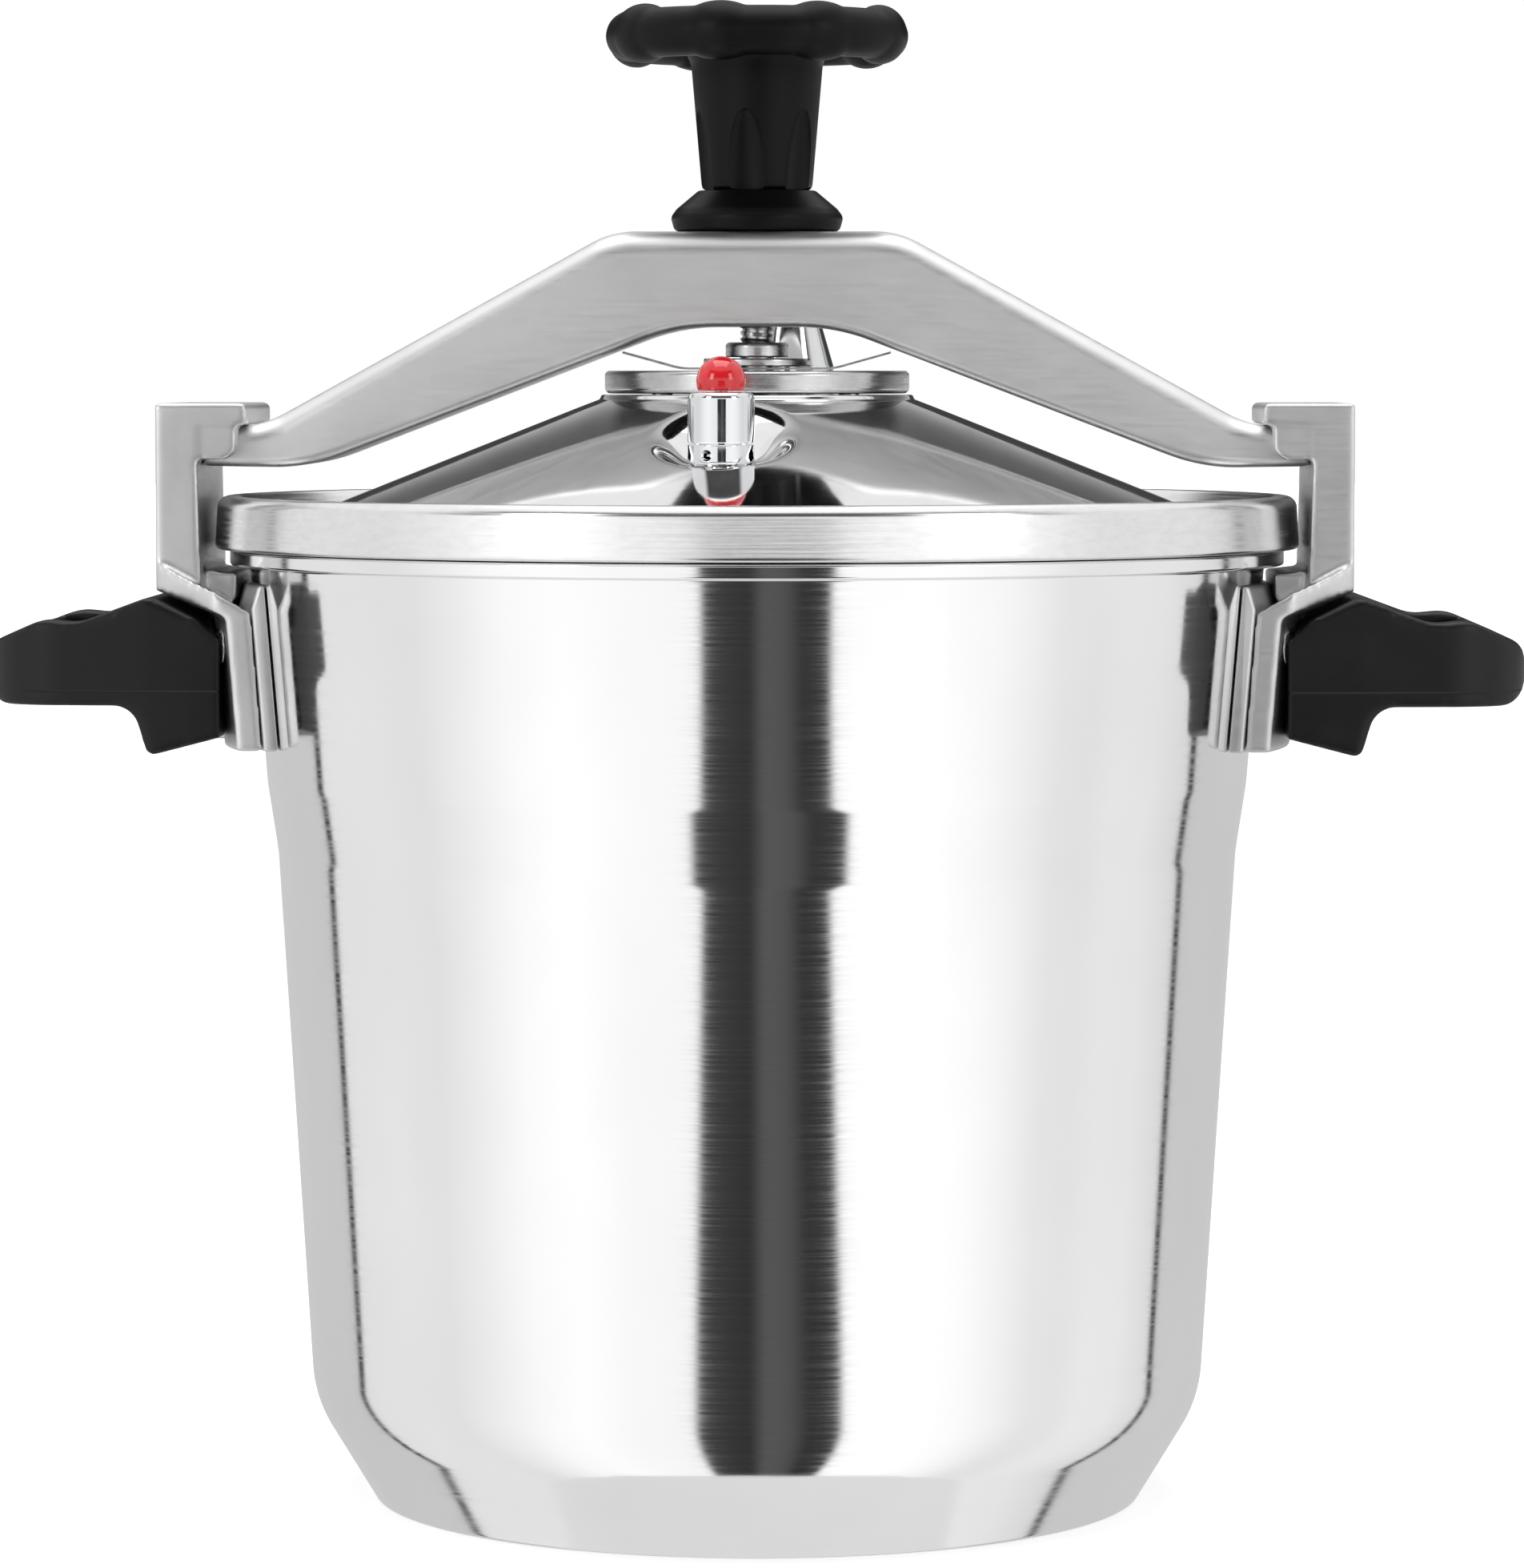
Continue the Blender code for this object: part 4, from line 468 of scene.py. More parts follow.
def placeCamera():
    lensData = bpy.data.cameras.new("studioCamera")
    lensData.lens = view["lens"]
    lensData.sensor_width = 36
    lensData.clip_end = 60
    camera = linked("studioCamera", lensData)
    side = Vector((math.cos(view["azimuth"]), math.sin(view["azimuth"]), 0))
    away = Vector((-math.sin(view["azimuth"]), math.cos(view["azimuth"]), 0))
    camera.location = -away * view["distance"] + side * view["aside"]
    camera.location.z = view["height"]
    camera.rotation_euler = (math.pi / 2 - view["pitch"], 0, view["azimuth"])
    bpy.context.scene.camera = camera


placeCamera()

# studio: a pale floor, and a round tent of soft white cloth with a dark slot in front

tent = {
    "radius": 2.2,
    "low": -3.4,
    "high": 2.6,
    "slotTop": (0.34, 0.46),
    "cloth": (0.30, 0.36, 1.25, 1.55),  # the dark cloth behind: fades in, then out
    "hood": (0.62, 0.95, 58, 74),  # the dark hood high in front: metres up, then degrees round
    "slot": (-10.5, 17.5),  # degrees, the dark opening in front
    "seams": (-118.5, 120.0),  # degrees, the two dark seams at the sides
    "seamWidth": 2.2,
    "outer": 0.60,
    "gradient": (
        (-118, 0.84),
        (-95, 0.85),
        (-80, 0.83),
        (-68, 0.93),
        (-55, 1.06),
        (-42, 1.12),
        (-28, 1.06),
        (-12, 1.03),
        (22, 1.10),
        (40, 1.14),
        (54, 1.07),
        (63, 0.98),
        (73, 0.86),
        (82, 0.84),
        (92, 0.88),
        (104, 0.86),
        (119, 0.76),
    ),
}


def cardMaterial(name):
    card = bpy.data.materials.new(name)
    card.use_nodes = True
    tree = card.node_tree
    tree.nodes.remove(tree.nodes["Principled BSDF"])
    glow = addNode(tree, "ShaderNodeEmission")
    tree.links.new(glow.outputs["Emission"], tree.nodes["Material Output"].inputs["Surface"])
    return card, tree, glow


def greyRamp(tree, value, stops, constant=False):
    ramp = addNode(tree, "ShaderNodeValToRGB")
    if constant:
        ramp.color_ramp.interpolation = "CONSTANT"
    elements = ramp.color_ramp.elements
    while len(elements) > 1:
        elements.remove(elements[-1])
    elements[0].position = stops[0][0]
    elements[0].color = (stops[0][1],) * 3 + (1,)
    for place, level in stops[1:]:
        element = elements.new(place)
        element.color = (level,) * 3 + (1,)
    tree.links.new(value, ramp.inputs["Fac"])
    return ramp.outputs["Color"]


def makeTent():
    wall = lathe("tentWall", [(tent["radius"], tent["high"]), (tent["radius"], tent["low"])], 96)
    card, tree, glow = cardMaterial("tentCloth")
    where = addNode(tree, "ShaderNodeTexCoord").outputs["Object"]
    split = addNode(tree, "ShaderNodeSeparateXYZ", {"Vector": where})
    x, y, z = (split.outputs[axis] for axis in "XYZ")
    bearing = maths(tree, "ARCTAN2", x, maths(tree, "MULTIPLY", y, -1.0))
    turn = maths(tree, "ADD", maths(tree, "DIVIDE", bearing, 2 * math.pi), 0.5)

    def at(degrees):
        return degrees / 360 + 0.5

    half = tent["seamWidth"] / 2
    left, right = tent["seams"]
    outer = tent["outer"]
    edge, seam = outer * 1.05, 0.02
    stops = [(0.0, outer), (at(left - half - 1), edge)]
    stops += [(at(left - half), seam), (at(left + half), seam)]
    stops += [(at(left + half + 0.6), tent["gradient"][0][1])]
    stops += [(at(a), level) for a, level in tent["gradient"][1:-1]]
    stops += [(at(right - half - 0.6), tent["gradient"][-1][1])]
    stops += [(at(right - half), seam), (at(right + half), seam)]
    stops += [(at(right + half + 1), edge), (1.0, outer)]
    # the slot widens downwards, to a limit
    below = maths(tree, "ADD", maths(tree, "MINIMUM", z, -0.22), 0.22)
    widen = maths(tree, "ADD", maths(tree, "MULTIPLY", below, 0.68), 1.0)
    widen = maths(tree, "MAXIMUM", widen, 0.78)
    slotTurn = maths(tree, "MULTIPLY", maths(tree, "SUBTRACT", turn, 0.5), widen)
    slotTurn = maths(tree, "ADD", slotTurn, 0.5)
    slotLeft, slotRight = tent["slot"]
    slotStops = [
        (0.0, 1.0),
        (at(slotLeft - 0.4), 1.0),
        (at(slotLeft + 0.4), 0.05),
        (at(0), 0.03),
        (at(3), 0.10),
        (at(8), 0.08),
        (at(11), 0.03),
        (at(slotRight - 0.4), 0.035),
        (at(slotRight + 0.8), 1.0),
        (1.0, 1.0),
    ]
    whole = tent["high"] - tent["low"]
    height = maths(tree, "DIVIDE", maths(tree, "SUBTRACT", z, tent["low"]), whole)

    def up(metres):
        return (metres - tent["low"]) / whole

    def above(low, high):
        return greyRamp(tree, height, [(0.0, 0.0), (up(low), 0.0), (up(high), 1.0), (1.0, 1.0)])

    def between(value, *places):
        return greyRamp(tree, value, [(0.0, 0.0), *zip(places, (0.0, 1.0, 1.0, 0.0)), (1.0, 0.0)])

    # behind, above the table line, hangs a dark cloth up to about a metre and a half
    stopsBehind = [(0.0, 1.0), (at(-135), 1.0), (at(-125), 0.0)]
    stopsBehind += [(at(125), 0.0), (at(135), 1.0), (1.0, 1.0)]
    behind = greyRamp(tree, turn, stopsBehind)
    low, full, fade, gone = tent["cloth"]
    band = between(height, up(low), up(full), up(fade), up(gone))
    cloth = maths(tree, "SUBTRACT", 1.0, maths(tree, "MULTIPLY", behind, band, 0.91))
    # above the dark cloth the tent is white all round
    crown = maths(tree, "MULTIPLY", above(fade, gone), 0.95)
    sides = maths(tree, "MAXIMUM", greyRamp(tree, turn, stops), crown)
    slot = maths(tree, "MAXIMUM", greyRamp(tree, slotTurn, slotStops), above(*tent["slotTop"]))
    # a dark hood, high up in front
    low, high, inner, outer = tent["hood"]
    ahead = between(turn, at(-outer), at(-inner), at(inner), at(outer))
    hood = maths(tree, "MULTIPLY", above(low, high), ahead, 0.93)
    unhooded = maths(tree, "SUBTRACT", 1.0, hood)
    level = maths(tree, "MULTIPLY", sides, slot, cloth, unhooded)
    tree.links.new(level, glow.inputs["Strength"])
    wall.data.materials.append(card)
    wall.visible_camera = False
    wall.visible_shadow = False
    floorCard = lathe("lowerCard", [(tent["radius"], tent["low"]), (0, tent["low"])], 48)
    card, tree, glow = cardMaterial("lowerCloth")
    glow.inputs["Strength"].default_value = 0.78
    floorCard.data.materials.append(card)
    floorCard.visible_camera = False
    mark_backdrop(wall, floorCard)


def makeFloor():
    reach = 14
    corners = [(-reach, -reach, 0), (reach, -reach, 0), (reach, reach, 0), (-reach, reach, 0)]
    floor = meshObject("studioFloor", corners, [(0, 1, 2, 3)])
    paint, _, shader = newFinish("palePaint", (0.93, 0.93, 0.93), 0.9)
    shader.inputs["Emission Color"].default_value = (1, 1, 1, 1)
    shader.inputs["Emission Strength"].default_value = 0.42
    floor.data.materials.append(paint)
    floor.visible_glossy = False
    floor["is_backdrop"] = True


def areaLight(name, spot, target, size, power):
    lamp = bpy.data.lights.new(name, "AREA")
    lamp.shape = "RECTANGLE"
    lamp.size = size[0]
    lamp.size_y = size[1]
    lamp.energy = power
    holder = linked(name, lamp)
    holder.location = spot
    holder.rotation_euler = (Vector(target) - Vector(spot)).to_track_quat("-Z", "Y").to_euler()
    holder.visible_camera = False


def makeStudio():
    sky = bpy.data.worlds.new("studioAir")
    sky.use_nodes = True
    air = sky.node_tree.nodes["Background"]
    air.inputs["Color"].default_value = (1, 1, 1, 1)
    air.inputs["Strength"].default_value = 1.0
    bpy.context.scene.world = sky
    bpy.context.scene.view_settings.view_transform = "Standard"
    makeTent()
    makeFloor()
    areaLight("topSoftbox", (0, 0.1, 1.7), (0, 0, 0.2), (1.2, 1.2), 9)
    areaLight("leftSoftbox", (-1.2, -1.3, 0.9), (0, 0, 0.2), (0.5, 0.8), 5)
    areaLight("rightSoftbox", (1.3, -1.2, 0.9), (0, 0, 0.2), (0.5, 0.8), 4)


makeStudio()
print("camera and studio placed")


# pot

pot = {
    "box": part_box("pot_body"),
    "wall": 0.0032,
    "base": 0.0050,
    "lip": 0.0048,
    "flange": 0.0037,
    "lean": 0.077,
    "lowerLean": 0.0615,
    "stepDepth": 0.0564,
    "stepHeight": 0.0170,
    "stepInset": 0.0026,
    "shoulder": 0.0248,
    "shoulderRound": 0.030,
    "footLean": 0.61,
    "steps": 216,
}
potTop = pot["box"][1].z
flangeRadius = pot["box"][1].x
wallTop = flangeRadius - pot["lip"]
hair = 0.0003


def wallRadius(z):
    return wallTop - pot["lean"] * (potTop - pot["flange"] - z)


def evenOut(points, guard=0.0004, stretch=0.008):
    # extra points near the ends of long straight runs keep their shading flat
    result = [points[0]]
    for (r0, z0), (r1, z1) in zip(points, points[1:]):
        length = math.hypot(r1 - r0, z1 - z0)
        if length > 4 * guard:
            shares = [guard / length, 1 - guard / length]
            count = int(length / stretch)
            shares += [(i + 1) / (count + 1) for i in range(count)]
            for share in sorted(shares):
                result.append((r0 + (r1 - r0) * share, z0 + (z1 - z0) * share))
        result.append((r1, z1))
    return result


def makePot():
    under = potTop - pot["flange"]
    stepTop = potTop - pot["stepDepth"]
    stepLow = stepTop - pot["stepHeight"]
    upper = wallRadius(stepTop)
    lower = upper - pot["stepInset"]
    shoulder = lower - pot["lowerLean"] * (stepLow - pot["shoulder"])
    foot = shoulder - pot["footLean"] * pot["shoulder"]
    wall = pot["wall"]
    innerFoot = foot - wall + pot["footLean"] * pot["base"]
    outline = roundOff(
        [
            (0, pot["base"], 0),
            (innerFoot, pot["base"], 0.008),
            (shoulder - wall, pot["shoulder"], pot["shoulderRound"]),
            (lower - wall, stepLow, 0.02),
            (upper - wall, stepTop, 0.02),
            (wallTop - wall, under, 0),
            (wallTop - wall, potTop, 0.0004),
            (flangeRadius, potTop, 0.0008),
            (flangeRadius, under, 0.0008),
            (wallTop, under, 0.0006),
            (upper, stepTop, 0.02),
            (lower, stepLow, 0.02),
            (shoulder, pot["shoulder"], pot["shoulderRound"]),
            (foot, 0, 0.0015),
            (foot - 0.010, 0, 0),
            (foot - 0.0106, 0.0005, 0),
            (0, 0.0005, 0),
        ],
        fine=3,
    )
    body = lathe("potBody", evenOut(outline), pot["steps"])
    dress(body, spunAluminium, "polished_aluminium", "pot", "pot_body")


makePot()
print("pot made")


# lug plates, hook posts and handles

sides = {
    "plateBox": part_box("lug_plate_right"),
    "postBox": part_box("hook_post_right"),
    "handleBox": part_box("handle_right"),
    "lug": 0.0033,
    "lugTop": 0.0134,
    "lugBend": 0.0055,
    "lugLip": 0.0013,
    "postPlate": 0.00575,
    "footDepth": 0.0154,
    "footSlope": 0.42,
    "footTopSlope": 0.62,
    "footThickness": 0.0045,
    "columnThickness": 0.0098,
    "lipReach": 0.0120,
    "lipThickness": 0.0052,
    "cheekThickness": 0.0070,
    "cheekDrop": 0.0082,
    "hookFront": -0.0303,
    "hookBack": 0.0270,
    "gussetHalf": 0.0220,
    "grain": 0.00075,
    "screwDepth": 0.0433,
    "screwSpacing": 0.0160,
    "rivetDepth": 0.0225,
    "rivetTurn": math.radians(15),
}
plateHalf = sides["plateBox"][1].y
platesLow = sides["plateBox"][0].z
columnOuter = sides["postBox"][1].x
columnInner = columnOuter - sides["columnThickness"]
hookTop = sides["postBox"][1].z
lipLow = hookTop - sides["lipThickness"]
hookFront = sides["hookFront"]
postInside = sides["lug"] + 2 * hair
postOutside = postInside + sides["postPlate"]
footLow = potTop - sides["footDepth"]
rootX = wallRadius(footLow) + postOutside


def footUnder(r):
    return footLow + sides["footSlope"] * (r - rootX)


def mirrored(points, side):
    spots = [(side * u, v) for u, v in points]
    return spots if side > 0 else spots[::-1]


def makeLug(side, word):
    top = potTop - sides["lugTop"]
    bend = top + sides["lugBend"]
    outline = [
        (wallRadius(bend) + hair + sides["lugLip"], bend),
        (wallRadius(top) + hair + sides["lug"], top),
        (wallRadius(platesLow) + hair + sides["lug"], platesLow),
        (wallRadius(platesLow) + hair, platesLow),
        (wallRadius(bend) + hair, bend),
    ]
    band = lathe("lug" + word, outline, 180, ring=True)
    plan = [(0.09, -plateHalf), (0.16, -plateHalf), (0.16, plateHalf), (0.09, plateHalf)]
    carve(band, "INTERSECT", flatPlate("plan", mirrored(plan, side), 0.15, 0.26, "XY"))
    edge = band.modifiers.new("edge", "BEVEL")
    edge.width = 0.0007
    edge.segments = 3
    edge.angle_limit = math.radians(40)
    settle(band)
    softShade(band, 30)
    dress(band, postCasting, "cast_aluminium", "pot", "lug_plate_" + word.lower())


def makePost(side, word):
    outer = wallRadius(footLow) + postOutside
    inner = wallRadius(footLow) + postInside
    far = columnOuter + sides["postPlate"]
    footTop = footLow + 0.0010
    outline = [
        (inner, footTop),
        (outer, footTop + sides["footTopSlope"] * sides["postPlate"]),
        (far, footUnder(far) + sides["footThickness"] + 0.0025),
        (far, footUnder(far)),
        (outer, footLow),
        (wallRadius(platesLow) + postOutside, platesLow),
        (wallRadius(platesLow) + postInside, platesLow),
    ]
    band = lathe("post" + word, outline, 180, ring=True)
    plan = roundOff(
        [
            (0.100, -plateHalf, 0),
            (flangeRadius, -plateHalf, 0.004),
            (columnOuter, hookFront, 0.001),
            (columnOuter, sides["hookBack"], 0.001),
            (flangeRadius, plateHalf, 0.004),
            (0.100, plateHalf, 0),
        ],
        closed=True,
        fine=12,
    )
    carve(band, "INTERSECT", flatPlate("plan", mirrored(plan, side), 0.15, 0.30, "XY"))
    lipTip = columnInner - sides["lipReach"]
    foot = footUnder(columnOuter) + sides["footThickness"] / 2
    hook = roundOff(
        [
            (columnOuter, foot, 0),
            (columnOuter, hookTop, 0.0008),
            (lipTip, hookTop, 0.0012),
            (lipTip, lipLow, 0.0008),
            (columnInner, lipLow, 0.0008),
            (columnInner - 0.0010, foot - sides["footThickness"] / 2, 0),
        ],
        closed=True,
        fine=15,
    )
    hook = flatPlate("hook", mirrored(hook, side), hookFront, sides["hookBack"])
    cheekLow = lipLow - sides["cheekDrop"]
    middle = columnInner + sides["columnThickness"] / 2
    cheek = roundOff(
        [
            (middle, hookTop - 0.0010, 0),
            (lipTip + 0.0024, hookTop - 0.0010, 0.0006),
            (lipTip + 0.0024, cheekLow, 0.0038),
            (columnInner, cheekLow, 0.0008),
            (columnInner, cheekLow - 0.0035, 0),
            (middle, cheekLow - 0.0035, 0),
        ],
        closed=True,
        fine=12,
    )
    cheekBack = hookFront + sides["cheekThickness"]
    cheek = flatPlate("cheek", mirrored(cheek, side), hookFront + 0.0002, cheekBack)
    flangeLow = potTop - pot["flange"]
    gusset = [
        (columnInner + 0.002, footUnder(columnInner) + 0.001),
        (columnInner + 0.002, flangeLow - 0.0006),
        (wallTop + 0.0014, flangeLow - 0.0018),
        (wallTop + 0.0018, footLow + 0.004),
        (wallRadius(platesLow) + postOutside - 0.001, footLow + 0.0004),
    ]
    half = sides["gussetHalf"]
    gusset = flatPlate("gusset", mirrored(gusset, side), -half, half)
    piece = merged("hookPost" + word, band, hook, cheek, gusset)
    melt(piece, sides["grain"], 3, 0.45)
    dress(piece, postCasting, "cast_aluminium", "pot", "hook_post_" + word.lower())


grip = {
    "armDrop": 0.0367,
    "shoulder": 0.0126,
    "finger": (0.0228, 0.0408),
    "fingerHalf": 0.028,
    "fingerRadius": 0.0085,
    "cutHeights": (0.15, 0.26),
}


def makeHandle(side, word):
    tip = sides["handleBox"][1].x
    arm = potTop - grip["armDrop"]
    shoulder = rootX + grip["shoulder"]
    low = sides["handleBox"][0].z
    outline = roundOff(
        [
            (tip, potTop - 0.0225, 0.0065),
            (rootX + 0.0378, potTop - 0.0160, 0.010),
            (rootX + 0.0295, potTop - 0.0170, 0.010),
            (rootX + 0.0122, potTop - 0.0106, 0.0025),
            (rootX + 0.0005, footUnder(rootX) - 0.0005, 0),
            (wallTop + 0.004, footUnder(rootX) - 0.006, 0),
            (wallTop + 0.004, low + 0.0045, 0),
            (shoulder, low, 0.0020),
            (rootX + 0.0162, arm, 0.0060),
            (tip, arm, 0.0090),
        ],
        closed=True,
    )
    half = sides["handleBox"][1].y
    piece = flatPlate("handle" + word, mirrored(outline, side), -half, half)
    plan = roundOff(
        [
            (0.100, -half - 0.001, 0),
            (shoulder, -half + 0.0003, 0.010),
            (tip, -half + 0.003, 0.024),
            (tip, half - 0.003, 0.024),
            (shoulder, half - 0.0003, 0.010),
            (0.100, half + 0.001, 0),
        ],
        closed=True,
    )
    carve(piece, "INTERSECT", flatPlate("plan", mirrored(plan, side), *grip["cutHeights"], "XY"))
    near, far = (rootX + reach for reach in grip["finger"])
    across = grip["fingerHalf"]
    corners = [(near, -across), (far, -across), (far, across), (near, across)]
    finger = roundOff([(*corner, grip["fingerRadius"]) for corner in corners], closed=True)
    finger = flatPlate("finger", mirrored(finger, side), *grip["cutHeights"], "XY")
    room = lathe(
        "room",
        [
            (0, potTop),
            (wallRadius(potTop) + postOutside + hair, potTop),
            (wallRadius(0.15) + postOutside + hair, 0.15),
            (0, 0.15),
        ],
        180,
    )
    far = columnOuter + 0.0003
    wedge = [
        (rootX - 0.004, potTop + 0.01),
        (far, potTop + 0.01),
        (far, footUnder(far) - 0.0004),
        (rootX - 0.004, footUnder(rootX - 0.004) - 0.0004),
    ]
    wedge = flatPlate("wedge", mirrored(wedge, side), -0.06, 0.06)
    carve(piece, "DIFFERENCE", finger, room, wedge)
    sinks = []
    height = potTop - sides["screwDepth"]
    for row in (-1, 1):
        y = row * sides["screwSpacing"]
        start = (side * (shoulder - 0.0016), y, height)
        sinks.append(rod("sink", 0.0050, start, (side * (rootX + 0.03), y, height), 32))
    carve(piece, "DIFFERENCE", *sinks)
    melt(piece, 0.0008, 10, 0.5)
    dress(piece, handleBakelite, "bakelite", "pot", "handle_" + word.lower())


for side, word in ((-1, "Left"), (1, "Right")):
    makeLug(side, word)
    makePost(side, word)
    makeHandle(side, word)
print("lug plates, posts and handles made")


# what repeats: trees of geometry nodes


def newTree(name, sizes):
    tree = bpy.data.node_groups.new(name, "GeometryNodeTree")
    for word, kind in sizes:
        tree.interface.new_socket(word, in_out="INPUT", socket_type="NodeSocket" + kind)
    tree.interface.new_socket("Geometry", in_out="OUTPUT", socket_type="NodeSocketGeometry")
    return tree, tree.nodes.new("NodeGroupInput").outputs


def finishTree(tree, geometry, finish):
    real = addNode(tree, "GeometryNodeRealizeInstances")
    paint = addNode(tree, "GeometryNodeSetMaterial")
    leave = addNode(tree, "NodeGroupOutput")
    paint.inputs["Material"].default_value = finish
    tree.links.new(geometry, real.inputs["Geometry"])
    tree.links.new(real.outputs["Geometry"], paint.inputs["Geometry"])
    tree.links.new(paint.outputs["Geometry"], leave.inputs["Geometry"])


def grow(name, tree, sizes):
    # sets the sizes by identifier, runs the tree and keeps the plain mesh
    piece = meshObject(name, [(0, 0, 0)], [])
    step = piece.modifiers.new(name, "NODES")
    step.node_group = tree
    for item in tree.interface.items_tree:
        if item.in_out == "INPUT":
            step[item.identifier] = sizes[item.name]
    return settle(piece)


def vectorOf(tree, **axes):
    # each axis is a socket or a number
    node = addNode(tree, "ShaderNodeCombineXYZ")
    for axis, value in axes.items():
        if isinstance(value, (int, float)):
            node.inputs[axis].default_value = value
        else:
            tree.links.new(value, node.inputs[axis])
    return node.outputs["Vector"]


def moved(tree, geometry, shift=None, turn=None):
    node = addNode(tree, "GeometryNodeTransform", {"Geometry": geometry})
    if shift is not None:
        tree.links.new(shift, node.inputs["Translation"])
    if turn is not None:
        tree.links.new(turn, node.inputs["Rotation"])
    return node.outputs["Geometry"]


def joined(tree, *parts):
    node = addNode(tree, "GeometryNodeJoinGeometry")
    for part in parts:
        tree.links.new(part, node.inputs["Geometry"])
    return node.outputs["Geometry"]


def fastenerTree(name, pattern, finish):
    # the pattern object, laid along +X, at both rows of both sides
    sizes = [("Reach", "Float"), ("Half Spacing", "Float"), ("Height", "Float"), ("Fan", "Float")]
    tree, given = newTree(name, sizes)
    source = addNode(tree, "GeometryNodeObjectInfo", {"Object": pattern}).outputs["Geometry"]
    laid = moved(tree, source, turn=vectorOf(tree, Y=math.pi / 2))
    rows = []
    for row in (-1, 1):
        y = maths(tree, "MULTIPLY", given["Half Spacing"], float(row))
        fan = maths(tree, "MULTIPLY", given["Fan"], float(row))
        spot = vectorOf(tree, X=given["Reach"], Y=y, Z=given["Height"])
        rows.append(moved(tree, moved(tree, laid, shift=spot), turn=vectorOf(tree, Z=fan)))
    near = joined(tree, *rows)
    far = moved(tree, near, turn=vectorOf(tree, Z=math.pi))
    finishTree(tree, joined(tree, near, far), finish)
    return tree


def ringTree(name, pattern, finish):
    # the pattern object on a circle
    sizes = [("Count", "Int")] + [(word, "Float") for word in ("Radius", "Height", "First")]
    tree, given = newTree(name, sizes)
    sockets = {"Vertices": given["Count"], "Radius": given["Radius"]}
    circle = addNode(tree, "GeometryNodeMeshCircle", sockets).outputs["Mesh"]
    height, first = (vectorOf(tree, Z=given[word]) for word in ("Height", "First"))
    lifted = moved(tree, circle, height, first)
    source = addNode(tree, "GeometryNodeObjectInfo", {"Object": pattern}).outputs["Geometry"]
    # each copy faces outwards
    place = addNode(tree, "GeometryNodeInputPosition").outputs["Position"]
    split = addNode(tree, "ShaderNodeSeparateXYZ", {"Vector": place})
    bearing = maths(tree, "ARCTAN2", split.outputs["Y"], split.outputs["X"])
    turn = vectorOf(tree, Z=bearing)
    sockets = {"Points": lifted, "Instance": source, "Rotation": turn}
    copies = addNode(tree, "GeometryNodeInstanceOnPoints", sockets).outputs["Instances"]
    finishTree(tree, copies, finish)
    return tree


def wound(tree, given, steps, sides, across):
    # a bar of so many sides wound upwards round the Z axis
    sockets = {
        "Resolution": steps,
        "Rotations": given["Turns"],
        "Start Radius": given["Radius"],
        "End Radius": given["Radius"],
        "Height": given["Rise"],
    }
    spiral = addNode(tree, "GeometryNodeCurveSpiral", sockets).outputs["Curve"]
    sockets = {"Resolution": sides, "Radius": across}
    bar = addNode(tree, "GeometryNodeCurvePrimitiveCircle", sockets).outputs["Curve"]
    sockets = {"Fill Caps": True, "Curve": spiral, "Profile Curve": bar}
    return addNode(tree, "GeometryNodeCurveToMesh", sockets).outputs["Mesh"]


def coilTree(name, sides, finish):
    # a round wire coiled upwards
    sizes = [(word, "Float") for word in ("Turns", "Radius", "Rise", "Wire")]
    tree, given = newTree(name, sizes + [("Place", "Vector")])
    skin = wound(tree, given, 40, sides, given["Wire"])
    smooth = addNode(tree, "GeometryNodeSetShadeSmooth", {"Geometry": skin}).outputs["Geometry"]
    finishTree(tree, moved(tree, smooth, given["Place"]), finish)
    return tree


fasteners = {
    "screwHead": 0.0042,
    "screwHeight": 0.0028,
    "shank": 0.0024,
    "rivetHead": 0.0045,
    "rivetHeight": 0.0018,
    "plateRivetBox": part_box("plate_rivet_1"),
    "plateRivetCircle": 0.0260,
}


